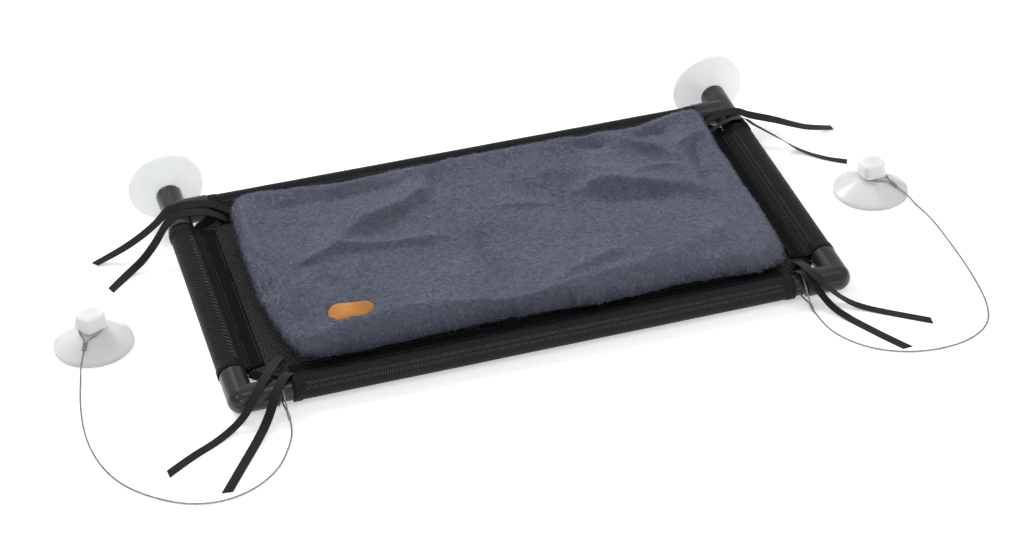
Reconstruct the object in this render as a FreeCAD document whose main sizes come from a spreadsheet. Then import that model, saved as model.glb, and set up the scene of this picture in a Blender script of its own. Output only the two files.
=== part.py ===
import FreeCAD, Part
import math
import os

import Sketcher
from FreeCAD import Placement, Rotation, Vector

# A window perch for a cat: a push-together frame of four tubes that carries a mesh sling and a
# plush pad. It lies on the floor, as it does when it is unpacked: it rests on its two front elbows
# and on the rims of its two rear suction cups, so the frame leans a few degrees. Two more suction
# cups stand beside it, each on the end of a steel cable that hangs the front of the frame from
# the window pane.
#
# Millimetres, +Z up, +Y towards the window side. The origin is on the floor, midway between the
# two cable cups and midway between the front elbows and the rear cups.

SIZES = (
    ("frame_width", 574.0, "between the axes of the two side tubes"),
    ("frame_depth", 290.0, "between the axes of the front and rear tubes"),
    ("frame_offset", 3.2, "frame's middle, right of the middle of the cable cups"),
    ("tube_od", 20.0, "tube outside"),
    ("tube_wall", 1.8, "tube wall"),
    ("fitting_od", 25.6, "elbow and tee outside"),
    ("fitting_arm", 33.0, "fitting's centre to the mouth of a socket"),
    ("tube_stop", 12.0, "fitting's centre to the end of a seated tube"),
    ("passage_d", 15.0, "way between a fitting's sockets"),
    ("mouth_round", 0.8, "round on a socket's mouth"),
    ("push_fit", 0.1, "radial clearance of a tube or a post in its socket"),
    ("tee_tail", 30.7, "tee's centre to its rear mouth"),
    ("cup_d", 75.0, "suction cup across its rim"),
    ("rim_width", 2.2, "flat of the rim that seals on the pane"),
    ("rim_height", 3.8, "upright wall of the rim"),
    ("bead_inset", 2.5, "rim's wall to the foot of the bell"),
    ("bead_height", 5.6, "rim's flat to the foot of the bell"),
    ("bell_height", 18.3, "rim's flat to the shoulder"),
    ("shoulder_d", 28.0, "shoulder across"),
    ("post_d", 17.0, "post that plugs into a tee or a cap"),
    ("post_length", 15.0, "shoulder to the end of the post"),
    ("post_round", 1.0, "round on the post's end"),
    ("hollow_depth", 12.5, "suction hollow"),
    ("hollow_roof_d", 26.0, "flat roof of the suction hollow"),
    ("bell_round", 4.0, "round on the bell, where it leaves the bead and meets the shoulder"),
    ("seat_gap", 0.2, "shoulder to the tee's mouth"),
    ("cap_side", 25.4, "cap across its flats, at the foot"),
    ("cap_draft", 3.0, "lean of the cap's flats, in degrees"),
    ("cap_height", 14.2, "cap's height"),
    ("cap_corner", 7.0, "round on the cap's upright corners"),
    ("cap_top_round", 2.2, "round on the cap's top edge"),
    ("cap_gap", 3.3, "shoulder to the foot of the cap, where the cable's eye lies"),
    ("cap_end_gap", 0.4, "end of the post to the roof of the cap's bore"),
    ("turn_fit", 0.05, "radial clearance of the cap on its post"),
    ("cap_turn_left", 26, "turn of the left cap's flats, in degrees"),
    ("cap_turn_right", -6, "turn of the right cap's flats, in degrees"),
    ("cup_reach", 392.0, "object's middle to the axis of a cable cup"),
    ("cup_set_back", 146.2, "front tube's axis to the axis of a cable cup"),
    ("sleeve_slack", 0.2, "radial slack of a sleeve on its tube"),
    ("sleeve_wall", 1.1, "sleeve's fabric"),
    ("band_wall", 0.9, "folded band that stands out at a sleeve's end"),
    ("band_length", 8.0, "folded band along the tube"),
    ("hem_reach", 31.0, "tube's axis to the inner edge of the sleeve's hem"),
    ("hem_wall", 0.8, "hem's fabric"),
    ("hem_slant", 6.0, "how much shorter the hem is at its inner edge, at each end"),
    ("front_set_back", 46.0, "corner to the end of the front sleeve, which bares the tube"),
    ("rear_set_back", 34.0, "corner to the end of the rear sleeve"),
    ("side_set_back", 35.0, "corner to either end of a side sleeve"),
    ("panel_wall", 1.0, "mesh panel"),
    ("panel_gap", 0.9, "panel's edge to the bands of the sleeves, under whose hems it is sewn"),
    ("panel_corner_u", 16.0, "panel's cut corner, along the front and rear edges"),
    ("panel_corner_v", 12.0, "panel's cut corner, along the side edges"),
    ("pad_left_gap", 58.0, "left tube's axis to the pad's left corners"),
    ("pad_right_gap", 36.0, "right tube's axis to the pad's right corners"),
    ("pad_front", 15.5, "front tube's axis to the pad's front corners"),
    ("pad_rear_gap", 15.0, "rear tube's axis to the pad's rear corners"),
    ("pad_left_belly", 16.0, "how far the pad's left side swells at its middle"),
    ("pad_right_belly", 6.0, "how far the pad's right side swells at its middle"),
    ("pad_thickness", 17.0, "pad"),
    ("pad_corner", 14.0, "round on the pad's corners in plan"),
    ("pad_edge", 7.5, "round on the pad's edges"),
    ("lay_gap", 0.2, "between one layer of cloth and the next"),
    ("label_length", 40.0, "leather label along its long side"),
    ("label_width", 19.0, "leather label across"),
    ("label_wall", 1.8, "leather label's thickness"),
    ("label_corner", 4.0, "round on the label's corners"),
    ("label_gap", 120.0, "left tube's axis to the label's middle"),
    ("label_v", 71.0, "label's middle, behind the front tube's axis"),
    ("cable_d", 1.6, "steel cable"),
    ("cable_play", 0.35, "between a cable's eye and what it goes round"),
    ("ferrule_length", 8.0, "crimped ferrule"),
    ("ferrule_width", 4.4, "ferrule across the two strands of its eye"),
    ("ferrule_wall", 2.8, "ferrule through"),
    ("ferrule_round", 0.5, "round on the ferrule's ends"),
    ("cup_eye_reach", 16.0, "cable cup's axis to its ferrule"),
    ("frame_eye_reach", 24.0, "front tube's axis to its ferrule"),
    ("frame_eye_inset", 36.5, "corner to the cable's eye on the front tube"),
    ("tie_width", 9.0, "woven tie"),
    ("tie_wall", 0.8, "woven tie's thickness"),
)

# Routes of what lies loose, in millimetres from the middle of the front tube's axis, with the
# height above the floor. The places that a cable or a tie shares with another piece come from
# the sizes above; these are the points between.
LEFT_CABLE_ROUTE = (
    (-251.0, -44.0, 0.9), (-261.0, -69.0, 0.9), (-277.0, -95.0, 0.9), (-303.0, -114.0, 0.9),
    (-332.0, -120.5, 0.9), (-361.0, -113.5, 0.9), (-387.0, -94.0, 0.9), (-408.0, -69.0, 0.9),
    (-420.5, -38.0, 0.9), (-426.0, -3.0, 0.9), (-425.5, 32.0, 0.9), (-421.5, 66.0, 0.9),
    (-415.5, 98.0, 0.95),
)
RIGHT_CABLE_ROUTE = (
    (251.5, -55.0, 0.9), (262.0, -82.0, 0.9), (282.0, -105.0, 0.9), (310.0, -119.0, 0.9),
    (341.0, -123.0, 0.9), (371.0, -118.0, 0.9), (396.0, -101.0, 0.9), (409.0, -72.0, 0.9),
    (415.5, -37.0, 0.9), (420.0, 2.0, 0.9), (422.5, 43.0, 0.9), (424.0, 80.0, 0.9),
    (420.0, 111.0, 0.95),
)
TIE_ROUTES = {
    "front_left_tie_inner": (
        (-234.5, 17.0, 16.5), (-240.5, 8.5, 25.8), (-249.5, -4.0, 29.0), (-259.0, -17.0, 22.5),
        (-268.0, -27.0, 8.5), (-280.0, -42.5, 1.4), (-304.0, -78.0, 0.5), (-324.0, -108.7, 0.5),
    ),
    "front_left_tie_outer": (
        (-240.0, 46.0, 17.5), (-246.5, 34.0, 23.0), (-257.0, 12.0, 28.6), (-268.5, -4.0, 28.2),
        (-279.5, -16.0, 20.5), (-289.5, -21.5, 9.0), (-304.0, -28.0, 1.8), (-321.0, -39.0, 0.5),
        (-343.0, -50.5, 0.5), (-367.0, -67.5, 0.5),
    ),
    "front_right_tie_outer": (
        (259.5, 32.0, 16.4), (257.0, 19.0, 24.6), (256.5, -4.0, 30.8), (262.0, -20.0, 27.0),
        (273.4, -28.0, 15.5), (285.0, -32.0, 6.0), (297.0, -39.0, 1.3), (318.0, -55.5, 0.5),
        (348.6, -79.0, 0.5),
    ),
    "front_right_tie_inner": (
        (250.0, 16.0, 15.4), (249.5, 8.0, 25.0), (251.0, -5.0, 28.8), (257.5, -19.0, 20.5),
        (267.0, -33.0, 5.5), (277.8, -50.4, 0.9), (287.5, -69.0, 0.5), (297.5, -89.0, 0.5),
        (309.5, -110.4, 0.5),
    ),
    "rear_left_tie_outer": (
        (-234.0, 270.0, 34.9), (-243.0, 273.0, 41.0), (-254.5, 276.5, 47.0),
        (-272.0, 277.5, 48.2), (-285.0, 277.0, 48.6), (-296.5, 276.5, 47.0),
        (-304.5, 276.0, 38.5), (-320.0, 279.0, 24.0), (-345.5, 280.0, 9.0),
        (-372.0, 277.7, 0.9),
    ),
    "rear_left_tie_inner": (
        (-242.0, 262.0, 34.2), (-251.0, 264.5, 40.0), (-263.0, 266.0, 45.5),
        (-281.0, 266.0, 47.0), (-294.0, 265.0, 46.0), (-302.0, 264.0, 38.0),
        (-313.0, 262.5, 21.5), (-329.0, 257.0, 7.0), (-347.0, 247.0, 1.2),
        (-365.0, 228.0, 0.5),
    ),
    "rear_right_tie_outer": (
        (256.5, 269.5, 33.7), (264.0, 268.5, 41.0), (272.5, 267.0, 46.0), (282.0, 265.8, 47.4),
        (294.0, 264.8, 46.8), (303.0, 264.3, 41.0), (316.0, 264.0, 36.0), (335.0, 265.0, 28.0),
        (355.0, 267.0, 17.5), (377.0, 269.5, 7.0), (403.0, 272.0, 0.9),
    ),
    "rear_right_tie_inner": (
        (259.0, 256.0, 33.1), (266.5, 255.0, 39.5), (275.0, 253.8, 45.0), (285.0, 252.8, 46.2),
        (296.0, 252.2, 45.0), (303.5, 251.8, 37.0), (318.0, 251.5, 26.0), (336.5, 249.0, 12.5),
        (350.0, 242.0, 3.0), (363.0, 228.0, 0.5), (376.5, 214.0, 0.5), (390.0, 205.0, 0.5),
    ),
}

X, Y, Z = Vector(1, 0, 0), Vector(0, 1, 0), Vector(0, 0, 1)
ALONG_RUN = 0.45          # a bend uses this share of the shorter run on either side of its point
NEAR = 1e-4
FRAME_EYE_FALL = 18.0     # degrees that the eye on the front tube points down to the floor
LEFT_HEADING = -116.0     # degrees from +X in which the left cable leaves its cup
RIGHT_HEADING = -45.0     # degrees from +X in which the right cable leaves its cup
EYE_STEP = 45.0           # degrees from one corner of an eye to the next
STRAND_GAP = 0.56         # half the distance of an eye's strands, as a share of their diameter
NECK_LENGTH = 3.0         # length of an eye's neck at its ferrule, in strand gaps
NECK_SPREAD = 1.6         # how far the strands part along the neck, in strand gaps
LIP_RUN = 17.0            # first straight run of a cable out of its ferrule at the cup
CRIMP_SIDE = 0.45         # rounding of a ferrule's narrow sides, as a share of its thickness
MIDDLE_BAND = 1.0         # corners this close to the middle line are no corners of the pad
VOLUME_NEAR = 0.02        # a swept cord's volume may differ by this share


class Size:
    """A length, or an angle in degrees, held as a number and as a formula of sheet cells."""

    def __init__(self, number, formula):
        self.number = number
        self.formula = formula

    def __float__(self):
        return float(self.number)

    def __add__(self, other):
        return Size(float(self) + float(other), f"({self.formula} + {formula(other)})")

    def __sub__(self, other):
        return Size(float(self) - float(other), f"({self.formula} - {formula(other)})")

    def __rsub__(self, other):
        return Size(float(other) - float(self), f"({formula(other)} - {self.formula})")

    def __mul__(self, other):
        return Size(float(self) * float(other), f"({self.formula} * {formula(other)})")

    def __truediv__(self, other):
        return Size(float(self) / float(other), f"({self.formula} / {formula(other)})")

    def __neg__(self):
        return Size(-float(self), f"(-{self.formula})")

    __radd__ = __add__
    __rmul__ = __mul__


def formula(size):
    """The sheet formula of a Size, or a plain number as text."""
    return size.formula if isinstance(size, Size) else repr(float(size))


def sine(angle):
    return Size(math.sin(math.radians(float(angle))), f"sin({angle.formula})")


def cosine(angle):
    return Size(math.cos(math.radians(float(angle))), f"cos({angle.formula})")


def bind(piece, path, size):
    """Ties one property of a piece to the sheet."""
    piece.setExpression(path, formula(size))


# ---------------------------------------------------------------- the document and its sizes

doc = FreeCAD.newDocument("window_perch")
sheet = doc.addObject("Spreadsheet::Sheet", "Sizes")
for row, (alias, number, note) in enumerate(SIZES, 1):
    sheet.set(f"A{row}", note)
    sheet.set(f"B{row}", str(number))
    sheet.setAlias(f"B{row}", alias)
doc.recompute()


class Sheet:
    """Every driving size by its name."""


size = Sheet()
for alias, number, note in SIZES:
    setattr(size, alias, Size(getattr(sheet, alias), f"Sizes.{alias}"))

ZERO = Size(0, "0")
half_width = size.frame_width / 2
fitting_r = size.fitting_od / 2
rim_r = size.cup_d / 2
pane_reach = size.frame_depth + size.tee_tail + size.seat_gap + size.bell_height
rest_reach = pane_reach - size.rim_height
slope_arm = Size(
    math.hypot(float(rest_reach), float(rim_r)),
    f"sqrt({rest_reach.formula}^2 + {rim_r.formula}^2)",
)
# The frame leans until its elbows and the rims of its rear cups both touch the floor.
lean = Size(
    math.degrees(math.acos(fitting_r.number / slope_arm.number)
                 - math.atan2(rest_reach.number, rim_r.number)),
    f"(acos({fitting_r.formula} / {slope_arm.formula})"
    f" - atan2({rest_reach.formula}; {rim_r.formula}))",
)
across, rise = cosine(lean), sine(lean)
front_y = -((pane_reach * across + rim_r * rise) - fitting_r) / 2
sleeve_ri = size.tube_od / 2 + size.sleeve_slack
sleeve_ro = sleeve_ri + size.sleeve_wall


def frame_point(u, v, w):
    """A point u to the right, v back and w up in the leaning frame, in the model's frame."""
    return (
        size.frame_offset + u,
        front_y + v * across - w * rise,
        fitting_r + v * rise + w * across,
    )


def place(piece, point, axis, angle):
    """Puts a piece at a point of Sizes, turned about an axis."""
    spot = Vector(*(float(number) for number in point))
    piece.Placement = Placement(spot, Rotation(axis, float(angle)))
    for letter, number in zip("xyz", point):
        bind(piece, f"Placement.Base.{letter}", number)
    bind(piece, "Placement.Rotation.Angle", angle)


def seat(piece, u, v, w):
    """Puts a piece in the leaning frame."""
    place(piece, frame_point(ZERO + u, ZERO + v, ZERO + w), X, lean)


# ---------------------------------------------------------------- features that pieces share

def new_body(name):
    body = doc.addObject("PartDesign::Body", name)
    body.Label = name
    return body


def new_sketch(body, role, name, lift=None):
    """A sketch on one of the body's own origin planes, raised off it by lift."""
    sketch = body.newObject("Sketcher::SketchObject", name)
    plane = next(item for item in body.Origin.OriginFeatures if item.Role == role)
    sketch.AttachmentSupport = (plane, [""])
    sketch.MapMode = "FlatFace"
    if lift is not None:
        sketch.AttachmentOffset = Placement(Vector(0, 0, float(lift)), Rotation())
        bind(sketch, "AttachmentOffset.Base.z", lift)
    return sketch


def locate(sketch, line, corner):
    """Holds the start of a line at a corner, measured from the sketch's origin."""
    for kind, axis, number in (("DistanceX", -2, corner[0]), ("DistanceY", -1, corner[1])):
        if isinstance(number, Size):
            index = sketch.addConstraint(
                Sketcher.Constraint(kind, -1, 1, line, 1, float(number)))
            bind(sketch, f"Constraints[{index}]", number)
        else:
            sketch.addConstraint(Sketcher.Constraint("PointOnObject", line, 1, axis))


def outline(sketch, corners):
    """A closed outline through corners, each of them Sizes or a plain 0 on an axis."""
    count = len(corners)
    ends = [Vector(float(x), float(y), 0) for x, y in corners]
    for index in range(count):
        sketch.addGeometry(Part.LineSegment(ends[index], ends[(index + 1) % count]), False)
    for index in range(count):
        after = (index + 1) % count
        sketch.addConstraint(Sketcher.Constraint("Coincident", index, 2, after, 1))
    for index in range(count):
        locate(sketch, index, corners[index])


def circles(sketch, diameters):
    """Circles about the sketch's origin."""
    for index, diameter in enumerate(diameters):
        sketch.addGeometry(Part.Circle(Vector(), Z, float(diameter) / 2), False)
        sketch.addConstraint(Sketcher.Constraint("Coincident", index, 3, -1, 1))
        spot = sketch.addConstraint(
            Sketcher.Constraint("Diameter", index, float(diameter)))
        bind(sketch, f"Constraints[{spot}]", diameter)


def pad(body, sketch, length, name, both_ways=False):
    """Raises a sketch along its normal, or half each way."""
    feature = body.newObject("PartDesign::Pad", name)
    feature.Profile = sketch
    bind(feature, "Length", length)
    feature.Midplane = both_ways
    return feature


def round_rod(body, name, diameter, direction, start, length, cut=False):
    """A cylinder from start, length long, along a direction from the body's origin."""
    kind = "SubtractiveCylinder" if cut else "AdditiveCylinder"
    rod = body.newObject(f"PartDesign::{kind}", name)
    bind(rod, "Radius", diameter / 2)
    bind(rod, "Height", length)
    rod.Placement = Placement(direction * float(start), Rotation(Z, direction))
    for letter, share in zip("xyz", direction):
        if share:
            bind(rod, f"Placement.Base.{letter}", start * share)
    return rod


def edges(body, chosen):
    """Names of the edges of a body's tip that a test picks."""
    doc.recompute()
    real = [(number, edge) for number, edge in enumerate(body.Tip.Shape.Edges, 1)
            if not edge.Degenerated]
    return [f"Edge{number}" for number, edge in real if chosen(edge)]


def soften(body, name, radius, chosen, kind="Fillet"):
    """A fillet, or a chamfer, on the edges that a test picks."""
    names = edges(body, chosen)
    feature = body.newObject(f"PartDesign::{kind}", name)
    feature.Base = (feature.BaseFeature, names)
    bind(feature, "Radius" if kind == "Fillet" else "Size", radius)
    return feature


def ring_at(radius, spot):
    """A test for a full circle of a radius about a spot."""
    def chosen(edge):
        curve = edge.Curve
        if not isinstance(curve, Part.Circle) or not edge.isClosed():
            return False
        near_radius = abs(curve.Radius - float(radius)) < NEAR
        return near_radius and (curve.Center - spot).Length < NEAR
    return chosen


def either(*tests):
    return lambda edge: any(test(edge) for test in tests)


# ---------------------------------------------------------------- frame: tubes and fittings

def make_tube(name, plane, length, u, v):
    """A tube about the middle of its length."""
    body = new_body(name)
    sketch = new_sketch(body, plane, f"{name}_section")
    circles(sketch, (size.tube_od, size.tube_od - size.tube_wall * 2))
    pad(body, sketch, length, f"{name}_length", both_ways=True)
    seat(body, u, v, 0)


def add_socket(body, name, direction, bore, mouth, depth):
    """Opens a socket that runs in from the mouth of an arm."""
    round_rod(body, name, bore, direction, mouth - depth, depth, cut=True)


def make_elbow(name, side):
    """A right-angled elbow with a ball corner: one arm runs along the front, one back."""
    arms = (X * -side, Y)
    body = new_body(name)
    ball = body.newObject("PartDesign::AdditiveSphere", f"{name}_corner")
    bind(ball, "Radius", fitting_r)
    for number, arm in enumerate(arms):
        round_rod(body, f"{name}_arm_{number}", size.fitting_od, arm, ZERO, size.fitting_arm)
    bore = size.tube_od + size.push_fit * 2
    for number, arm in enumerate(arms):
        depth = size.fitting_arm - size.tube_stop
        add_socket(body, f"{name}_socket_{number}", arm, bore, size.fitting_arm, depth)
        round_rod(body, f"{name}_way_{number}", size.passage_d, arm, ZERO, size.fitting_arm, True)
    mouths = [ring_at(fitting_r, arm * float(size.fitting_arm)) for arm in arms]
    soften(body, f"{name}_mouths", size.mouth_round, either(*mouths))
    seat(body, half_width * side, 0, 0)


def make_tee(name, side):
    """A tee in line with the side tube: its branch holds the rear tube, its tail a cup."""
    body = new_body(name)
    branch = X * -side
    length = size.fitting_arm + size.tee_tail
    round_rod(body, f"{name}_run", size.fitting_od, Y, -size.fitting_arm, length)
    round_rod(body, f"{name}_branch", size.fitting_od, branch, ZERO, size.fitting_arm)
    bore = size.tube_od + size.push_fit * 2
    depth = size.fitting_arm - size.tube_stop
    add_socket(body, f"{name}_side_socket", -Y, bore, size.fitting_arm, depth)
    add_socket(body, f"{name}_rear_socket", branch, bore, size.fitting_arm, depth)
    post_bore = size.post_d + size.push_fit * 2
    post_depth = size.post_length + size.cap_end_gap
    add_socket(body, f"{name}_cup_socket", Y, post_bore, size.tee_tail, post_depth)
    round_rod(body, f"{name}_way", size.passage_d, Y, -size.fitting_arm, length, cut=True)
    round_rod(body, f"{name}_branch_way", size.passage_d, branch, ZERO, size.fitting_arm, True)
    mouths = (
        ring_at(fitting_r, Y * -float(size.fitting_arm)),
        ring_at(fitting_r, Y * float(size.tee_tail)),
        ring_at(fitting_r, branch * float(size.fitting_arm)),
    )
    soften(body, f"{name}_mouths", size.mouth_round, either(*mouths))
    seat(body, half_width * side, size.frame_depth, 0)


def make_frame():
    across_length = size.frame_width - size.tube_stop * 2
    along_length = size.frame_depth - size.tube_stop * 2
    make_tube("front_tube", "YZ_Plane", across_length, 0, 0)
    make_tube("rear_tube", "YZ_Plane", across_length, 0, size.frame_depth)
    for name, side in (("left", -1), ("right", 1)):
        make_tube(f"{name}_tube", "XZ_Plane", along_length, half_width * side, size.frame_depth / 2)
        make_elbow(f"front_{name}_elbow", side)
        make_tee(f"rear_{name}_tee", side)


# ---------------------------------------------------------------- suction cups and their caps

def make_cup(name):
    """A suction cup, turned about its axis: rim, bell, shoulder and post, open underneath."""
    body = new_body(name)
    sketch = new_sketch(body, "XZ_Plane", f"{name}_profile")
    post_end = size.bell_height + size.post_length
    outline(sketch, (
        (0, size.hollow_depth),
        (size.hollow_roof_d / 2, size.hollow_depth),
        (rim_r - size.rim_width, 0),
        (rim_r, 0),
        (rim_r, size.rim_height),
        (rim_r - size.bead_inset, size.bead_height),
        (size.shoulder_d / 2, size.bell_height),
        (size.post_d / 2, size.bell_height),
        (size.post_d / 2, post_end),
        (0, post_end),
    ))
    turned = body.newObject("PartDesign::Revolution", f"{name}_turned")
    turned.Profile = sketch
    turned.ReferenceAxis = (sketch, ["V_Axis"])
    turned.Angle = 360
    bell = (
        ring_at(rim_r - size.bead_inset, Z * float(size.bead_height)),
        ring_at(size.hollow_roof_d / 2, Z * float(size.hollow_depth)),
    )
    soften(body, f"{name}_bell_round", size.bell_round, either(*bell))
    crisp = (
        ring_at(size.post_d / 2, Z * float(post_end)),
        ring_at(size.shoulder_d / 2, Z * float(size.bell_height)),
    )
    soften(body, f"{name}_post_round", size.post_round, either(*crisp))
    return body


def make_cap(name):
    """A square screw cap with leaning flats, bored to take the cup's post."""
    body = new_body(name)
    sketch = new_sketch(body, "XY_Plane", f"{name}_foot")
    half = size.cap_side / 2
    outline(sketch, ((-half, -half), (half, -half), (half, half), (-half, half)))
    block = pad(body, sketch, size.cap_height, f"{name}_block")
    bind(block, "TaperAngle", -size.cap_draft)
    top = float(size.cap_height)
    soften(body, f"{name}_corners", size.cap_corner, is_upright(top))
    soften(body, f"{name}_top", size.cap_top_round, lies_at(top))
    bore = size.post_d + size.turn_fit * 2
    depth = size.post_length - size.cap_gap + size.cap_end_gap
    round_rod(body, f"{name}_bore", bore, Z, ZERO, depth, cut=True)
    return body


def is_upright(height):
    """A test for an edge that rises the whole height."""
    return lambda edge: edge.BoundBox.ZLength > height - NEAR


def lies_at(height):
    """A test for an edge that lies level at a height."""
    def chosen(edge):
        box = edge.BoundBox
        return box.ZLength < NEAR and abs(box.ZMin - height) < NEAR
    return chosen


def make_cups():
    quarter_turn = lean + Size(90, "90 deg")
    for name, side in (("left", -1), ("right", 1)):
        rear = make_cup(f"rear_{name}_cup")
        place(rear, frame_point(half_width * side, pane_reach, ZERO), X, quarter_turn)
        spot_y = front_y + size.cup_set_back
        cup = make_cup(f"{name}_cable_cup")
        place(cup, (size.cup_reach * side, spot_y, ZERO), Z, ZERO)
        cap = make_cap(f"{name}_cup_cap")
        foot = size.bell_height + size.cap_gap
        turn = size.cap_turn_left if side < 0 else size.cap_turn_right
        place(cap, (size.cup_reach * side, spot_y, foot), Z, turn)


# ---------------------------------------------------------------- mesh sling: sleeves and panel

def make_sleeve(name, way, inward, length, u, v):
    """A sleeve round a tube, with folded bands at its ends and a hem that lies on the panel."""
    body = new_body(name)
    half = length / 2
    outside = sleeve_ro * 2
    round_rod(body, f"{name}_wrap", outside, way, -half, length)
    for place_name, start in (("low", -half), ("high", half - size.band_length)):
        band = outside + size.band_wall * 2
        round_rod(body, f"{name}_{place_name}_band", band, way, start, size.band_length)
    hem = new_sketch(body, "XY_Plane", f"{name}_hem_outline", lift=size.panel_wall / 2)
    corners = (
        (-half, ZERO), (half, ZERO),
        (half - size.hem_slant, size.hem_reach), (-half + size.hem_slant, size.hem_reach),
    )
    outline(hem, [
        (a * way.x + b * inward.x, a * way.y + b * inward.y) for a, b in corners
    ])
    pad(body, hem, size.hem_wall, f"{name}_hem")
    round_rod(body, f"{name}_hollow", sleeve_ri * 2, way, -half, length, cut=True)
    seat(body, u, v, 0)


def make_sling():
    front_length = size.frame_width - size.front_set_back * 2
    rear_length = size.frame_width - size.rear_set_back * 2
    side_length = size.frame_depth - size.side_set_back * 2
    make_sleeve("front_sleeve", X, Y, front_length, 0, 0)
    make_sleeve("rear_sleeve", X, -Y, rear_length, 0, size.frame_depth)
    make_sleeve("left_sleeve", Y, X, side_length, -half_width, size.frame_depth / 2)
    make_sleeve("right_sleeve", Y, -X, side_length, half_width, size.frame_depth / 2)
    body = new_body("mesh_panel")
    sketch = new_sketch(body, "XY_Plane", "mesh_panel_outline", lift=-size.panel_wall / 2)
    edge = sleeve_ro + size.band_wall + size.panel_gap
    half_u = half_width - edge
    half_v = size.frame_depth / 2 - edge
    cut_u = half_u - size.panel_corner_u
    cut_v = half_v - size.panel_corner_v
    outline(sketch, (
        (-cut_u, -half_v), (cut_u, -half_v), (half_u, -cut_v), (half_u, cut_v),
        (cut_u, half_v), (-cut_u, half_v), (-half_u, cut_v), (-half_u, -cut_v),
    ))
    pad(body, sketch, size.panel_wall, "mesh_panel_weave")
    seat(body, 0, size.frame_depth / 2, 0)


# ---------------------------------------------------------------- plush pad and its label

pad_foot = size.panel_wall / 2 + size.hem_wall + size.lay_gap


def make_pad():
    body = new_body("plush_pad")
    sketch = new_sketch(body, "XY_Plane", "plush_pad_outline")
    left = size.pad_left_gap - size.frame_width / 2
    right = size.frame_width / 2 - size.pad_right_gap
    rear = size.frame_depth - size.pad_rear_gap
    middle = (size.pad_front + rear) / 2
    outline(sketch, (
        (left, size.pad_front),
        (right, size.pad_front),
        (right + size.pad_right_belly, middle),
        (right, rear),
        (left, rear),
        (left - size.pad_left_belly, middle),
    ))
    pad(body, sketch, size.pad_thickness, "plush_pad_filling")
    thickness = float(size.pad_thickness)
    middle_v = float(middle)
    upright = is_upright(thickness)
    soften(body, "plush_pad_corners", size.pad_corner,
           lambda edge: upright(edge) and abs(edge.CenterOfMass.y - middle_v) > MIDDLE_BAND)
    soften(body, "plush_pad_edges", size.pad_edge, either(lies_at(thickness), lies_at(0.0)))
    seat(body, 0, 0, pad_foot)


def make_label():
    body = new_body("leather_label")
    sketch = new_sketch(body, "XY_Plane", "leather_label_outline")
    half_l, half_w = size.label_length / 2, size.label_width / 2
    outline(sketch, (
        (-half_l, -half_w), (half_l, -half_w), (half_l, half_w), (-half_l, half_w)))
    pad(body, sketch, size.label_wall, "leather_label_hide")
    soften(body, "leather_label_corners", size.label_corner, is_upright(float(size.label_wall)))
    seat(body, size.label_gap - size.frame_width / 2, size.label_v, pad_foot + size.pad_thickness)


# ---------------------------------------------------------------- cables, eyes and ferrules

def bent_path(points, name):
    """Straight runs through points, joined by arcs that touch both runs at each point."""
    path, start = [], points[0]
    radii = []
    for before, point, after in zip(points, points[1:], points[2:]):
        way_in, way_out = (point - before).normalize(), (after - point).normalize()
        turn = way_in.getAngle(way_out)
        reach = ALONG_RUN * min((point - before).Length, (after - point).Length)
        radius = reach / math.tan(turn / 2)
        radii.append(radius)
        arc_in, arc_out = point - way_in * reach, point + way_out * reach
        inward = (way_out - way_in).normalize()
        crown = point + inward * (radius / math.cos(turn / 2) - radius)
        path.append(Part.LineSegment(start, arc_in).toShape())
        path.append(Part.Arc(arc_in, crown, arc_out).toShape())
        start = arc_out
    path.append(Part.LineSegment(start, points[-1]).toShape())
    wire = Part.Wire(path)
    print(f"{name}: {wire.Length:.1f} mm long, bend radii {min(radii):.1f} to {max(radii):.1f}")
    return wire


def add_solid(name, shape):
    """A piece whose shape is swept, standing in the model's frame."""
    piece = doc.addObject("Part::Feature", name)
    piece.Label = name
    piece.Shape = shape
    place(piece, (ZERO + size.frame_offset, front_y, ZERO), Z, ZERO)


def sweep_round(name, points, diameter):
    """A round cord along a bent path."""
    spine = bent_path(points, name)
    start_way = (points[1] - points[0]).normalize()
    section = Part.Wire(Part.Circle(points[0], start_way, diameter / 2).toShape())
    cord = spine.makePipeShell([section], True, False)
    area = math.pi * diameter ** 2 / 4
    report_volume(name, cord, area * spine.Length)
    add_solid(name, cord)


def report_volume(name, solid, expected):
    share = solid.Volume / expected
    if abs(share - 1) > VOLUME_NEAR:
        print(f"{name}: volume is {share:.3f} of its section times its length")


def eye_points(radius, reach, gap):
    """Half of an eye round the origin, in its own plane: from its ferrule to its far side."""
    corner_r = radius / math.cos(math.radians(EYE_STEP / 2))
    loop = [math.radians(EYE_STEP * corner) for corner in (1.5, 2.5, 3.5)]
    half = [(reach, gap), (reach - NECK_LENGTH * gap, gap * NECK_SPREAD)]
    half += [(corner_r * math.cos(angle), corner_r * math.sin(angle)) for angle in loop]
    return half


def make_eye(name, centre, out, side, radius, reach):
    """A cable's eye about a centre, from one strand at the ferrule right round to the other."""
    diameter = float(size.cable_d)
    half = eye_points(radius, reach, diameter * STRAND_GAP)
    ring = half + [(a, -b) for a, b in reversed(half)]
    sweep_round(name, [centre + out * a + side * b for a, b in ring], diameter)


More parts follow.
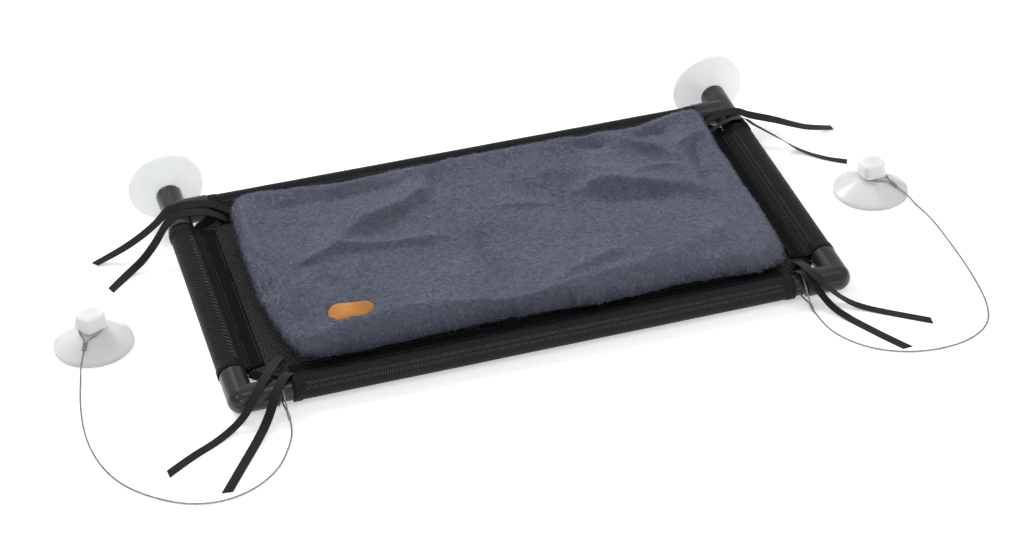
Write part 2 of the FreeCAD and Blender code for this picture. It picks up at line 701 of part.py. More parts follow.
def add_ferrule(name, start, way, side):
    """A crimped ferrule from start along a way, its wide face across side."""
    body = new_body(name)
    sketch = new_sketch(body, "XY_Plane", f"{name}_section")
    half_w, half_t = size.ferrule_width / 2, size.ferrule_wall / 2
    outline(sketch, (
        (-half_w, -half_t), (half_w, -half_t), (half_w, half_t), (-half_w, half_t)))
    pad(body, sketch, size.ferrule_length, f"{name}_crimp")
    length = float(size.ferrule_length)
    soften(body, f"{name}_sides", size.ferrule_wall * CRIMP_SIDE, is_upright(length))
    soften(body, f"{name}_ends", size.ferrule_round, either(lies_at(length), lies_at(0.0)))
    frame = Rotation(side, way.cross(side), way, "ZXY")
    base = start + Vector(float(size.frame_offset), float(front_y), 0)
    body.Placement = Placement(base, frame)
    return start + way * length


def make_cable(name, side, heading, route):
    """A cable from its eye on the front tube to its eye round the cable cup's post."""
    play, cable_r = float(size.cable_play), float(size.cable_d) / 2
    tube_centre = Vector(
        side * (float(half_width) - float(size.frame_eye_inset)), 0, float(fitting_r))
    down = math.radians(FRAME_EYE_FALL)
    out = Vector(0, -math.cos(down), -math.sin(down))
    up = Vector(0, -math.sin(down), math.cos(down))
    eye_r = float(size.tube_od) / 2 + play + cable_r
    make_eye(f"{name}_frame_eye", tube_centre, out, up, eye_r, float(size.frame_eye_reach))
    frame_start = tube_centre + out * float(size.frame_eye_reach)
    frame_end = add_ferrule(f"{name}_frame_ferrule", frame_start, out, up)

    cup_axis = Vector(side * float(size.cup_reach) - float(size.frame_offset),
                      float(size.cup_set_back), 0)
    turn = math.radians(heading)
    away = Vector(math.cos(turn), math.sin(turn), 0)
    beside = Z.cross(away)
    bell_fall = (float(size.bell_height) - float(size.bead_height)) / (
        float(rim_r) - float(size.bead_inset) - float(size.shoulder_d) / 2)
    down_bell = Vector(away.x, away.y, -bell_fall).normalize()
    loop_z = float(size.bell_height) + play + cable_r
    eye_r = float(size.post_d) / 2 + play + cable_r
    level = cup_axis + Z * loop_z
    make_eye(f"{name}_cup_eye", level, away, beside, eye_r, float(size.cup_eye_reach))
    cup_start = level + away * float(size.cup_eye_reach)
    cup_end = add_ferrule(f"{name}_cup_ferrule", cup_start, down_bell, beside)
    lip = cup_end + down_bell * LIP_RUN
    points = [frame_end] + [Vector(*point) for point in route] + [lip, cup_end]
    sweep_round(f"{name}_cable", points, 2 * cable_r)


# ---------------------------------------------------------------- ties

def make_tie(name, route):
    """A flat woven tie that lies along its route with its width level."""
    points = [Vector(*point) for point in route]
    spine = bent_path(points, name)
    width, wall = float(size.tie_width), float(size.tie_wall)
    way = points[1] - points[0]
    flat = Vector(way.x, way.y, 0).normalize()
    side = Z.cross(flat) * (width / 2)
    up = Z * (wall / 2)
    corners = [points[0] + side + up, points[0] - side + up,
               points[0] - side - up, points[0] + side - up]
    section = Part.makePolygon(corners + corners[:1])
    sweep = Part.BRepOffsetAPI.MakePipeShell(spine)
    sweep.setBiNormalMode(Z)
    sweep.add(section, False, False)
    sweep.build()
    sweep.makeSolid()
    add_solid(name, sweep.shape())


# ---------------------------------------------------------------- build, test and write

def check(pieces):
    """Stops if a feature failed or if a piece's shape is missing or not valid."""
    for item in doc.Objects:
        if {"Invalid", "Error"} & set(item.State):
            raise RuntimeError(f"{item.Name} failed: {item.State}")
    for piece in pieces:
        shape = piece.Shape
        if shape.isNull() or not shape.isValid() or shape.Volume <= 0:
            raise RuntimeError(f"{piece.Label} has no valid solid")
        if len(shape.Solids) != 1:
            raise RuntimeError(f"{piece.Label} is {len(shape.Solids)} solids")


def is_piece(item):
    return item.TypeId in ("PartDesign::Body", "Part::Feature")


make_frame()
make_cups()
make_sling()
make_pad()
make_label()
make_cable("left", -1, LEFT_HEADING, LEFT_CABLE_ROUTE)
make_cable("right", 1, RIGHT_HEADING, RIGHT_CABLE_ROUTE)
for tie_name, tie_route in TIE_ROUTES.items():
    make_tie(tie_name, tie_route)
doc.recompute()

parts = [item for item in doc.Objects if is_piece(item)]
check(parts)
os.makedirs("parts", exist_ok=True)
for part in parts:
    part.Shape.exportStep(f"parts/{part.Label}.step")
print(f"{len(parts)} pieces, frame leans {float(lean):.2f} degrees")
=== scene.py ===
"""A window perch for a cat, dressed for close viewing.

Lengths are metres unless a name or a comment says mm. X runs right along the front tube, Y
back towards the window pane, Z up from the floor.
"""

import math

import bmesh
import bpy
import numpy as np
from mathutils import Matrix, Vector


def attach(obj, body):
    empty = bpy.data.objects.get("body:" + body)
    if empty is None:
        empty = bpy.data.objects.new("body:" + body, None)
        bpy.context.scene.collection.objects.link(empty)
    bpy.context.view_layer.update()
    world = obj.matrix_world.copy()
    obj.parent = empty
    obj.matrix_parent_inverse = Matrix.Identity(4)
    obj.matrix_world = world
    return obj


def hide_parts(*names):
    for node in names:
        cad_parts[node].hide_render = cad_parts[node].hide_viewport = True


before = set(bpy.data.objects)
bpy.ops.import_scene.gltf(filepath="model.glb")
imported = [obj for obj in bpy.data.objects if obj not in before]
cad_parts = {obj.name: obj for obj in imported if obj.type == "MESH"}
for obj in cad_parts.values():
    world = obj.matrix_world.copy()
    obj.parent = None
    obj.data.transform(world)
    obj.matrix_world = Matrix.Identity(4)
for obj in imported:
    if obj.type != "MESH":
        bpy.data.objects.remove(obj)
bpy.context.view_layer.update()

MM = 0.001
LEAN = math.radians(4.206)
FRONT_Y = -0.1641184  # axis of the front tube
OFFSET_X = 0.0032     # middle of the frame
FITTING_R = 0.0128
HALF_W = 287          # middle of the frame to the axis of a side tube, in mm
DEPTH = 290           # axis of the front tube to that of the rear tube, in mm
UP = np.array((0, 0, 1.0))


def spread(*parts):
    """Numbers and arrays side by side on a new last axis, each spread to the common shape."""
    return np.stack(np.broadcast_arrays(*parts), axis=-1)


def unit(ways):
    """Directions with a length of one."""
    return ways / np.linalg.norm(ways, axis=-1, keepdims=True)


def circle(count):
    """Evenly spaced points (x, y) of a circle of radius one."""
    angles = np.radians(np.arange(count) * 360 / count)
    return spread(np.cos(angles), np.sin(angles))


def turned(points, angle):
    """Points (x, y) turned about the origin."""
    cos, sin = math.cos(angle), math.sin(angle)
    return points @ np.array([[cos, sin], [-sin, cos]])


def distances(line):
    """How far along a line each of its points lies."""
    runs = np.linalg.norm(np.diff(line, axis=0), axis=-1)
    return np.concatenate([[0], np.cumsum(runs)])


def leaning(points):
    """Turns points (u right, v back, w up) of the leaning frame, in mm, about the front tube."""
    u, v, w = np.moveaxis(np.asarray(points, float) * MM, -1, 0)
    cos, sin = math.cos(LEAN), math.sin(LEAN)
    return spread(OFFSET_X + u, FRONT_Y + v * cos - w * sin, FITTING_R + v * sin + w * cos)


def standing(points):
    """Moves points in mm from the middle of the front tube's axis and the floor into place."""
    return np.asarray(points, float) * MM + (OFFSET_X, FRONT_Y, 0)


# ------------------------------------------------------------------ mesh making

def new_object(name, data):
    """An object at the origin of the scene."""
    thing = bpy.data.objects.new(name, data)
    bpy.context.scene.collection.objects.link(thing)
    return thing


def shade_smooth(mesh):
    mesh.polygons.foreach_set("use_smooth", np.full(len(mesh.polygons), True))


def make_mesh(name, points, faces, uv=None):
    """A mesh object at the origin from points, faces and one UV pair per point."""
    mesh = bpy.data.meshes.new(name)
    mesh.from_pydata(np.reshape(points, (-1, 3)).tolist(), [], faces)
    mesh.update()
    if uv is not None:
        loops = np.empty(len(mesh.loops), dtype=np.int32)
        mesh.loops.foreach_get("vertex_index", loops)
        layer = mesh.uv_layers.new(name="surface")
        uv = np.reshape(uv, (-1, 2)).astype(np.float32)
        layer.data.foreach_set("uv", uv[loops].ravel())
    shade_smooth(mesh)
    return new_object(name, mesh)


def grid_faces(rows, columns, closed=False):
    """Quads between neighbouring rows and columns of a grid, round the columns if closed."""
    row = np.arange(rows - 1)[:, None] * columns
    column = np.arange(columns if closed else columns - 1)
    after = (column + 1) % columns
    quads = spread(row + column, row + after, row + columns + after, row + columns + column)
    return quads.reshape(-1, 4).tolist()


def skin(name, rings, lengths=None):
    """A closed shell through rings of points, each end closed by a fan about its middle."""
    rows, columns = rings.shape[:2]
    points = np.vstack([rings.reshape(-1, 3), rings[0].mean(axis=0), rings[-1].mean(axis=0)])
    last = len(points) - 1
    spots = np.arange(columns)
    after = (spots + 1) % columns
    base = (rows - 1) * columns
    faces = grid_faces(rows, columns, closed=True)
    faces += spread(after, spots, last - 1).tolist()
    faces += spread(base + spots, base + after, last).tolist()
    uv = None
    if lengths is not None:
        uv = np.zeros((len(points), 2))
        uv[:-2, 0] = np.repeat(lengths, columns)
        uv[:-2, 1] = np.tile(distances(rings[rows // 2]), rows)
        uv[-2:, 0] = lengths[0], lengths[-1]
    piece = make_mesh(name, points, faces, uv)
    face_out(piece)
    return piece


def face_out(piece, weld=0):
    """Turns every face of a closed shell outwards, once points nearer than weld are joined."""
    work = bmesh.new()
    work.from_mesh(piece.data)
    if weld:
        bmesh.ops.remove_doubles(work, verts=work.verts[:], dist=weld)
    bmesh.ops.recalc_face_normals(work, faces=work.faces[:])
    work.to_mesh(piece.data)
    work.free()


def evaluated(piece):
    """A new mesh of a piece as its modifiers leave it."""
    graph = bpy.context.evaluated_depsgraph_get()
    return bpy.data.meshes.new_from_object(piece.evaluated_get(graph))


def finish_modifiers(piece):
    """Applies every modifier of a piece to its mesh."""
    done = evaluated(piece)
    piece.modifiers.clear()
    piece.data = done


def thicken(piece, thickness):
    """Gives a sheet its thickness in mm, half on either side."""
    solid = piece.modifiers.new("cloth", "SOLIDIFY")
    solid.thickness = thickness * MM
    solid.offset = 0
    finish_modifiers(piece)


def read(things, field):
    """A field of three numbers of each vertex or face."""
    numbers = np.empty(len(things) * 3)
    things.foreach_get(field, numbers)
    return numbers.reshape(-1, 3)


def set_points(mesh, points):
    mesh.vertices.foreach_set("co", points.ravel())
    mesh.update()


def lattice_noise(points, cell, seed):
    """Smooth noise from -1 to 1: seeded values on a cubic lattice, blended by smooth steps."""
    size = 32
    values = np.random.default_rng(seed).random((size, size, size)) * 2 - 1
    scaled = points / cell
    low = np.floor(scaled).astype(int)
    part = scaled - low
    part = part * part * (3 - 2 * part)
    total = np.zeros(points.shape[:-1])
    for corner in np.ndindex(2, 2, 2):
        share = np.prod(np.where(np.array(corner) == 1, part, 1 - part), axis=-1)
        total += share * values[tuple(np.moveaxis((low + corner) % size, -1, 0))]
    return total


def smooth_line(points, count):
    """A Catmull-Rom line through points, evenly spaced in its parameter."""
    points = np.asarray(points, float)
    padded = np.vstack([2 * points[0] - points[1], points, 2 * points[-1] - points[-2]])
    t = np.linspace(0, len(points) - 1, count)
    low = np.minimum(t.astype(int), len(points) - 2)
    f = (t - low)[:, None]
    a, b, c, d = (padded[low + step] for step in range(4))
    return 0.5 * (2 * b + (c - a) * f + (2 * a - 5 * b + 4 * c - d) * f ** 2
                  + (3 * b - a - 3 * c + d) * f ** 3)


def even_line(points, step):
    """The same line with its points a step apart, and the length along it at each."""
    along = distances(points)
    spots = np.linspace(0, along[-1], max(2, int(round(along[-1] / step)) + 1))
    return spread(*(np.interp(spots, along, axis) for axis in points.T)), spots


def loose_line(points):
    """The smooth line of a cord: a quadratic NURBS spline with the route as control points."""
    curve = bpy.data.curves.new("route", "CURVE")
    curve.dimensions = "3D"
    curve.resolution_u = 24
    spline = curve.splines.new("NURBS")
    spline.points.add(len(points) - 1)
    spline.points.foreach_set("co", np.hstack([points, np.ones((len(points), 1))]).ravel())
    spline.order_u = 3
    spline.use_endpoint_u = True
    holder = new_object("route", curve)
    bpy.context.view_layer.update()
    mesh = evaluated(holder)
    line = read(mesh.vertices, "co")
    bpy.data.objects.remove(holder)
    bpy.data.curves.remove(curve)
    bpy.data.meshes.remove(mesh)
    return line


def along_frame(line, up):
    """Tangent, side and crown directions along a line, with side square to a given up."""
    tangent = unit(np.gradient(line, axis=0))
    side = unit(np.cross(up, tangent))
    return tangent, side, np.cross(tangent, side)


# ------------------------------------------------------------------ materials

def add_node(tree, kind, inputs=None, **settings):
    """Adds a node, sets its settings and its inputs, each a number or another node's output."""
    node = tree.nodes.new(kind)
    for setting, choice in settings.items():
        setattr(node, setting, choice)
    for socket, source in (inputs or {}).items():
        if isinstance(source, bpy.types.NodeSocket):
            tree.links.new(source, node.inputs[socket])
        else:
            node.inputs[socket].default_value = source
    return node


def math_node(tree, operation, *numbers):
    """The outcome of a sum on numbers or on other nodes' outputs."""
    return add_node(
        tree, "ShaderNodeMath", dict(enumerate(numbers)), operation=operation).outputs[0]


def ramp(tree, source, stops):
    """A colour ramp through stops of (position, colour)."""
    node = add_node(tree, "ShaderNodeValToRGB", {0: source})
    while len(node.color_ramp.elements) < len(stops):
        node.color_ramp.elements.new(0.5)
    for element, (position, colour) in zip(node.color_ramp.elements, stops):
        element.position = position
        element.color = (*colour, 1)
    return node.outputs[0]


def new_group(name, inputs, outputs):
    """A node group; gives its tree, its inputs and its output node.

    An input is (name, kind, number or None), an output a name, and always one number.
    """
    tree = bpy.data.node_groups.new(name, "ShaderNodeTree")
    for socket, kind, number in inputs:
        item = tree.interface.new_socket(
            socket, in_out="INPUT", socket_type=f"NodeSocket{kind}")
        if number is not None:
            item.default_value = number
    for socket in outputs:
        tree.interface.new_socket(socket, in_out="OUTPUT", socket_type="NodeSocketFloat")
    return tree, tree.nodes.new("NodeGroupInput").outputs, tree.nodes.new("NodeGroupOutput")


def make_weave_group():
    """Plain weave: two sets of round threads that pass over and under each other in turn.

    A thread's height is the square root of a cosine across it, raised and lowered by a sine
    along it; the higher thread shows. A hole is open where both threads are thin.
    """
    tree, given, result = new_group(
        "plain weave",
        (("Vector", "Vector", None), ("Warp", "Float", 0.0012), ("Weft", "Float", 0.0012),
         ("Opening", "Float", 0.3)),
        ("Height", "Hole"))

    def place(operation, *numbers):
        return math_node(tree, operation, *numbers)

    split = add_node(tree, "ShaderNodeSeparateXYZ", {0: given["Vector"]})
    heights, gaps, counts, steps = [], [], [], []
    for axis, pitch in enumerate(("Warp", "Weft")):
        step = place("DIVIDE", split.outputs[axis], given[pitch])
        steps.append(step)
        counts.append(place("FLOOR", step))
        across = place("SUBTRACT", place("FRACT", step), 0.5)
        gaps.append(place("ABSOLUTE", across))
        round_top = place("COSINE", place("MULTIPLY", across, math.pi))
        heights.append(place("POWER", round_top, 0.5))
    shown = []
    for own, other, lift in ((0, 1, 0.0), (1, 0, 1.0)):
        phase = place("ADD", place("ADD", steps[other], counts[own]), lift)
        wave = place("SINE", place("MULTIPLY", phase, math.pi))
        shown.append(place("MULTIPLY", heights[own], place("MULTIPLY_ADD", wave, 0.35, 0.65)))
    edge = place("SUBTRACT", 0.5, given["Opening"])
    open_ways = [place("GREATER_THAN", gap, edge) for gap in gaps]
    tree.links.new(place("MAXIMUM", *shown), result.inputs["Height"])
    tree.links.new(place("MULTIPLY", *open_ways), result.inputs["Hole"])
    return tree


def make_grain_group():
    """Fine uneven grain and a broad slow variation, both from noise."""
    tree, given, result = new_group(
        "uneven grain", (("Vector", "Vector", None), ("Scale", "Float", 800.0)),
        ("Fine", "Broad"))
    broad_scale = math_node(tree, "MULTIPLY", given["Scale"], 0.06)
    for socket, noise in (
            ("Fine", {"Scale": given["Scale"], "Detail": 4.0, "Roughness": 0.6}),
            ("Broad", {"Scale": broad_scale, "Detail": 3.0})):
        node = add_node(tree, "ShaderNodeTexNoise", {"Vector": given["Vector"], **noise})
        tree.links.new(node.outputs[0], result.inputs[socket])
    return tree


weave_group = make_weave_group()
grain_group = make_grain_group()


class Finish:
    """A node material: a Principled BSDF and short ways to add nodes before it."""

    def __init__(self, name, **sockets):
        self.material = bpy.data.materials.new(name)
        self.material.use_nodes = True
        self.tree = self.material.node_tree
        self.tree.nodes.clear()
        self.shader = self.node("ShaderNodeBsdfPrincipled")
        output = self.node("ShaderNodeOutputMaterial")
        self.tree.links.new(self.shader.outputs[0], output.inputs["Surface"])
        for socket, number in sockets.items():
            self.shader.inputs[socket.replace("_", " ")].default_value = number

    def node(self, kind, inputs=None, **settings):
        return add_node(self.tree, kind, inputs, **settings)

    def math(self, operation, *numbers):
        return math_node(self.tree, operation, *numbers)

    def feed(self, socket, source):
        self.tree.links.new(source, self.shader.inputs[socket])

    def colour(self, factor, *stops):
        """Base colour by stops of (position, colour)."""
        self.feed("Base Color", ramp(self.tree, factor, stops))

    def roughness(self, factor, *stops):
        """Roughness by stops of (position, roughness)."""
        greys = [(position, (rough, rough, rough)) for position, rough in stops]
        self.feed("Roughness", ramp(self.tree, factor, greys))

    def bump(self, height, strength, distance):
        bump = self.node("ShaderNodeBump", {
            "Height": height, "Strength": strength, "Distance": distance})
        self.feed("Normal", bump.outputs[0])

    def place(self):
        """Where on the object a point lies."""
        return self.node("ShaderNodeTexCoord").outputs["Object"]

    def uv(self):
        """The piece's own UV map."""
        return self.node("ShaderNodeUVMap", uv_map="surface").outputs[0]

    def noise(self, vector, scale, detail, roughness, distortion=0.0):
        return self.node("ShaderNodeTexNoise", {
            "Vector": vector, "Scale": scale, "Detail": detail, "Roughness": roughness,
            "Distortion": distortion}).outputs[0]

    def grain(self, scale):
        """The grain group's fine and broad outputs."""
        return self.node("ShaderNodeGroup", {
            "Vector": self.place(), "Scale": scale}, node_tree=grain_group).outputs

    def weave(self, pitch, opening, turn):
        """The weave group's height and hole, on the UV map turned by an angle."""
        map_turned = self.node("ShaderNodeMapping", {
            "Vector": self.uv(), "Rotation": (0, 0, turn)})
        return self.node("ShaderNodeGroup", node_tree=weave_group, inputs={
            "Vector": map_turned.outputs[0], "Warp": pitch, "Weft": pitch,
            "Opening": opening}).outputs


def grainy(name, scale, dark, light, bump=None, broad_rough=None, fine_rough=None, **sockets):
    """A solid material: its colour follows the broad grain, its bump the fine grain."""
    finish = Finish(name, **sockets)
    fine, broad = finish.grain(scale)
    finish.colour(broad, (0.3, dark), (0.7, light))
    if broad_rough:
        finish.roughness(broad, *broad_rough)
    if fine_rough:
        finish.roughness(fine, *fine_rough)
    if bump:
        finish.bump(fine, *bump)
    return finish.material


def woven(name, specular, pitch, turn, painted_shade_colours, roughness, bump, opening=0.3, see_through=False):
    """A woven cloth, whose roughness and bump follow the height of its threads, and whose colour
    follows it too: painted shade between the threads and a painted highlight on their crowns.
    """
    finish = Finish(name, Specular_IOR_Level=specular)
    height, hole = finish.weave(pitch, opening, turn)
    # Painted shade and highlight: darker where the threads dip, lighter on their crowns.
    finish.colour(height, *painted_shade_colours)
    finish.roughness(height, *roughness)
    finish.bump(height, *bump)
    if see_through:
        finish.feed("Alpha", finish.math("SUBTRACT", 1.0, hole))
    return finish.material


def make_plush():
    """Short plush: soft tufts in clumps, with painted shade in the hollows between them and a
    painted highlight on their tops, and brushed patches painted lighter or darker as painted
    sheen.
    """
    finish = Finish("plush", Roughness=0.95, Specular_IOR_Level=0.08, Sheen_Weight=0.22,
                    Sheen_Roughness=0.4, Sheen_Tint=(0.62, 0.68, 0.8, 1))
    where = finish.place()
    nap = finish.node("ShaderNodeMapping", {
        "Vector": where, "Rotation": (0, 0, 0.5), "Scale": (1.0, 1.9, 1.0)}).outputs[0]
    strands = finish.math("MULTIPLY", finish.noise(nap, 520.0, 4.0, 0.7, 0.6), 0.45)
    tufts = finish.math("MULTIPLY_ADD", finish.noise(nap, 210.0, 3.0, 0.6, 0.4), 0.55, strands)
    patches = finish.noise(where, 16.0, 3.0, 0.5)
    # Painted shade and highlight: the colour follows the tufts' bump height, with painted sheen
    # in broad patches.
    shade = finish.math("MULTIPLY_ADD", patches, 0.22, finish.math("MULTIPLY", tufts, 0.78))
    finish.colour(shade, (0.34, (0.078, 0.084, 0.114)), (0.5, (0.120, 0.129, 0.170)),
                  (0.66, (0.180, 0.192, 0.246)))
    finish.bump(tufts, 1.0, 0.0028)
    return finish.material


def make_pile_fibre():
    """Tufts of the plush: painted shade darkens each at the root and lightens it towards the tip,
    each patch a little different.
    """
    finish = Finish("pile_fibre", Roughness=0.8, Specular_IOR_Level=0.15)
    root_to_tip = finish.node("ShaderNodeSeparateXYZ", {0: finish.uv()}).outputs[1]
    fine, broad = finish.grain(420.0)
    uneven = finish.math("MULTIPLY_ADD", fine, 0.5, finish.math("MULTIPLY", broad, 0.5))
    # Painted shade: the colour darkens from tip to root along each tuft.
    shade = finish.math(
        "MULTIPLY_ADD", root_to_tip, 0.5, finish.math("MULTIPLY", uneven, 0.8))
    finish.colour(shade, (0.3, (0.080, 0.086, 0.118)), (0.65, (0.140, 0.151, 0.200)),
                  (0.95, (0.215, 0.228, 0.292)))
    return finish.material


def make_label_leather():
    """Tan leather: fine grain over small cells."""
    finish = Finish("label_leather", Roughness=0.5, Specular_IOR_Level=0.4)
    fine, broad = finish.grain(700.0)
    cells = finish.node("ShaderNodeTexVoronoi", {"Vector": finish.place(), "Scale": 900.0})
    finish.colour(broad, (0.3, (0.36, 0.14, 0.028)), (0.7, (0.56, 0.25, 0.062)))
    finish.bump(finish.math("MULTIPLY_ADD", cells.outputs["Distance"], 0.6, fine), 0.35, 0.0004)
    return finish.material


def make_ribbon():
    """Black grosgrain ribbon: close ribs across its length, one to 1.1 mm."""
    finish = Finish("ribbon", Specular_IOR_Level=0.25, Sheen_Weight=0.08)
    along = finish.node("ShaderNodeSeparateXYZ", {0: finish.uv()}).outputs[0]
    wave = finish.math("SINE", finish.math("MULTIPLY", along, 2 * math.pi / 0.0011))
    ribs = finish.math("MULTIPLY_ADD", wave, 0.5, 0.5)
    _, broad = finish.grain(600.0)
    finish.colour(broad, (0.3, (0.006, 0.006, 0.0065)), (0.7, (0.013, 0.013, 0.0138)))
    finish.roughness(ribs, (0.0, 0.85), (1.0, 0.55))
    finish.bump(ribs, 0.5, 0.0003)
    return finish.material


# Dark grey moulded plastic, with a rougher bloom in patches.
frame_plastic = grainy(
    "frame_plastic", 900.0, (0.012, 0.013, 0.015), (0.019, 0.020, 0.023), (0.06, 0.0002),
    broad_rough=((0.3, 0.19), (0.75, 0.32)), IOR=1.5, Coat_Weight=0.08, Coat_Roughness=0.08)
# Coated mesh of the sleeves, closed by its second layer behind; painted shade between the threads
# and a painted highlight on their crowns.
sleeve_cloth = woven(
    "sleeve_cloth", 0.28, 0.0023, math.pi / 4,
    ((0.5, (0.0006, 0.0006, 0.001)), (0.8, (0.0022, 0.0023, 0.0032)),
     (0.96, (0.024, 0.025, 0.031))), ((0.5, 0.9), (0.95, 0.3)), (1.0, 0.0006))
# The same yarn woven open, so that what lies behind shows between the threads; painted shade
# where the threads dip and painted light on their crowns.
open_mesh = woven(
    "open_mesh", 0.25, 0.0021, math.pi / 4,
    ((0.4, (0.0015, 0.0015, 0.002)), (0.9, (0.011, 0.0115, 0.014))),
    ((0.2, 0.7), (0.95, 0.35)), (0.9, 0.0006), opening=0.22, see_through=True)
# Flat binding of a hem, finer and duller than the sleeve, with painted shade where its threads
# dip and painted light on their crowns.
hem_cloth = woven(
    "hem_cloth", 0.12, 0.0011, 0.0,
    ((0.3, (0.001, 0.001, 0.0014)), (0.9, (0.005, 0.005, 0.0062))),
    ((0.2, 0.9), (0.9, 0.6)), (0.6, 0.0003))
sewing_thread = grainy(
    "sewing_thread", 2500.0, (0.042, 0.042, 0.047), (0.085, 0.086, 0.094), (0.4, 0.0001),
    Specular_IOR_Level=0.35, Roughness=0.4)
plush = make_plush()
pile_fibre = make_pile_fibre()
label_leather = make_label_leather()
ribbon = make_ribbon()
# Translucent PVC of the suction cups, slightly cloudy and uneven.
soft_pvc = grainy(
    "soft_pvc", 260.0, (0.90, 0.925, 0.945), (0.94, 0.96, 0.975), (0.05, 0.0003),
    broad_rough=((0.3, 0.12), (0.7, 0.24)), Transmission_Weight=0.4, IOR=1.4,
    Subsurface_Weight=0.8, Subsurface_Radius=(1, 1, 1), Subsurface_Scale=0.012)
milky_plastic = grainy(
    "milky_plastic", 500.0, (0.82, 0.84, 0.86), (0.87, 0.885, 0.9), (0.05, 0.0002), IOR=1.46,
    Roughness=0.34, Subsurface_Weight=0.8, Subsurface_Radius=(1, 1, 1), Subsurface_Scale=0.009)
# Stainless wire, dull in fine uneven spots.
rope_steel = grainy(
    "rope_steel", 3000.0, (0.34, 0.34, 0.335), (0.52, 0.52, 0.51),
    fine_rough=((0.3, 0.32), (0.7, 0.5)), Metallic=1.0)
# Soft aluminium, scuffed by the crimping tool.
crimp_metal = grainy(
    "crimp_metal", 1600.0, (0.26, 0.26, 0.26), (0.48, 0.48, 0.475), (0.3, 0.0002),
    fine_rough=((0.3, 0.3), (0.7, 0.5)), Metallic=1.0)


def dress(piece, material, body, slot, *nodes):
    """Gives a piece its material and body, and hides the CAD nodes that it stands for. Its slot
    is not used.
    """
    piece.data.materials.clear()
    piece.data.materials.append(material)
    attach(piece, body)
    if nodes:
        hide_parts(*nodes)


# ------------------------------------------------------------------ frame: tubes and fittings

for node in ("front_tube", "rear_tube", "left_tube", "right_tube", "front_left_elbow",
             "front_right_elbow", "rear_left_tee", "rear_right_tee"):
    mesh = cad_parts[node].data
    mesh.materials.clear()
    mesh.materials.append(frame_plastic)


# ------------------------------------------------------------------ sleeves and mesh panel

SLEEVE_R = 10.75      # middle of the cloth round a tube, in mm
CLOTH = 1.0           # cloth of a sleeve, in mm
BAND = 8.0            # folded band at each end, in mm
HEM_REACH = 31.0      # tube's axis to the hem's edge, in mm
HEM_START = 12.0      # tube's axis to where the hem's ends begin to slant, in mm
STAND_OFF = 1.15      # what the outer half of a side sleeve is widened by


def sleeve_profile():
    """Half-open loop of (inward, up) in mm: hem, over the tube, under it, back to the hem.

    The cloth leaves the tube 28 degrees above and below the inward line and comes together
    in a flat hem.
    """
    angles = np.radians(np.linspace(28, 332, 56))
    wrap = SLEEVE_R * spread(np.cos(angles), np.sin(angles))
    upper = smooth_line([(HEM_REACH, 0.95), (24.0, 0.95), (17.5, 1.25), (13.2, 2.7),
                         tuple(wrap[0])], 22)
    lower = upper * (1, -1)
    return np.vstack([upper[:-1], wrap, lower[::-1][1:]])


def make_sleeve(name, way, inward, centre, length, seed):
    """A sewn sleeve: its profile carried along the tube, thicker at its folded ends.

    The cloth ripples by up to 0.35 mm, and its flat hem crinkles by up to 0.7 mm more.
    The two side sleeves stand off their tubes by 1.6 mm on the outside.
    """
    profile = sleeve_profile()
    a, w = profile.T
    half = length / 2
    along = np.concatenate([
        [-half, -half + BAND * 0.5, -half + BAND - 0.35],
        np.linspace(-half + BAND, half - BAND, 150),
        [half - BAND + 0.35, half - BAND * 0.5, half]])
    lift = np.where(np.abs(along) > half - BAND + 0.1, 0.75, 0.0)
    round_tube = np.clip((17.0 - a) / 6.0, 0, 1)
    flat = 1 - round_tube
    grow = 1 + lift[:, None] * round_tube / np.maximum(np.hypot(a, w), 1)
    rows = spread(along[:, None], a * grow, w * grow)
    slant = np.clip((rows[..., 1] - HEM_START) / (HEM_REACH - HEM_START), 0, 1) * 5.0 / half
    rows[..., 0] *= 1 - slant
    ripple = lattice_noise(rows * MM, 0.024, seed)
    crinkle = lattice_noise(rows * (0.7, 1.3, 0) * MM, 0.009, seed + 40)
    rows[..., 2] += ripple * 0.35 * (0.4 + 0.6 * flat) + crinkle * 0.7 * flat
    if way[1]:
        rows[..., 1] *= np.where(rows[..., 1] < 0, STAND_OFF, 1.0)
    piece = make_mesh(name, leaning(rows @ np.array((way, inward, UP)) + centre),
                      grid_faces(*grow.shape), spread(rows[..., 0], distances(profile)) * MM)
    thicken(piece, CLOTH)
    return piece


def paint_hem(piece, inward, centre):
    """Gives the flat hem the duller binding, from 16.5 mm inwards of the tube's axis."""
    reach = (read(piece.data.polygons, "center") - leaning(centre)) @ inward
    piece.data.materials.append(hem_cloth)
    piece.data.polygons.foreach_set("material_index", (reach > 0.0165).astype(np.int32))


def make_stitches(name, rows):
    """Stitches along lines: round-ended rods, each five rings of six points.

    Each row is (start, step, count, way, side, up, length, radius); a rod swells as the
    square root of one less the fourth power of its place, so its ends are round. A rod lies on
    a sleeve's curve: it drops by the square of its place over twice the sleeve's radius.
    """
    across, over = np.split(circle(6), 2, axis=-1)
    t = np.linspace(-1, 1, 5)[:, None, None]
    swell = np.sqrt(np.maximum(1 - (t * 0.96) ** 4, 0.02))
    one = np.array(grid_faces(5, 6, closed=True))
    ends = [list(range(6))[::-1], list(range(24, 30))]
    points, faces, base = [], [], 0
    for start, step, count, way, side, up, length, radius in rows:
        spots = start + step * (np.arange(count)[:, None] + 0.5)
        reach = t * length / 2
        rod = (way * reach - up * reach ** 2 / (2 * SLEEVE_R)
               + (side * across + up * over) * swell * radius)
        points.append((spots[:, None, None, :] + rod).reshape(-1, 3))
        offsets = base + np.arange(count) * 30
        faces += (one[None] + offsets[:, None, None]).reshape(-1, 4).tolist()
        faces += [[spot + int(offset) for spot in end] for end in ends for offset in offsets]
        base += count * 30
    piece = make_mesh(name, leaning(np.vstack(points)), faces)
    face_out(piece)
    return piece


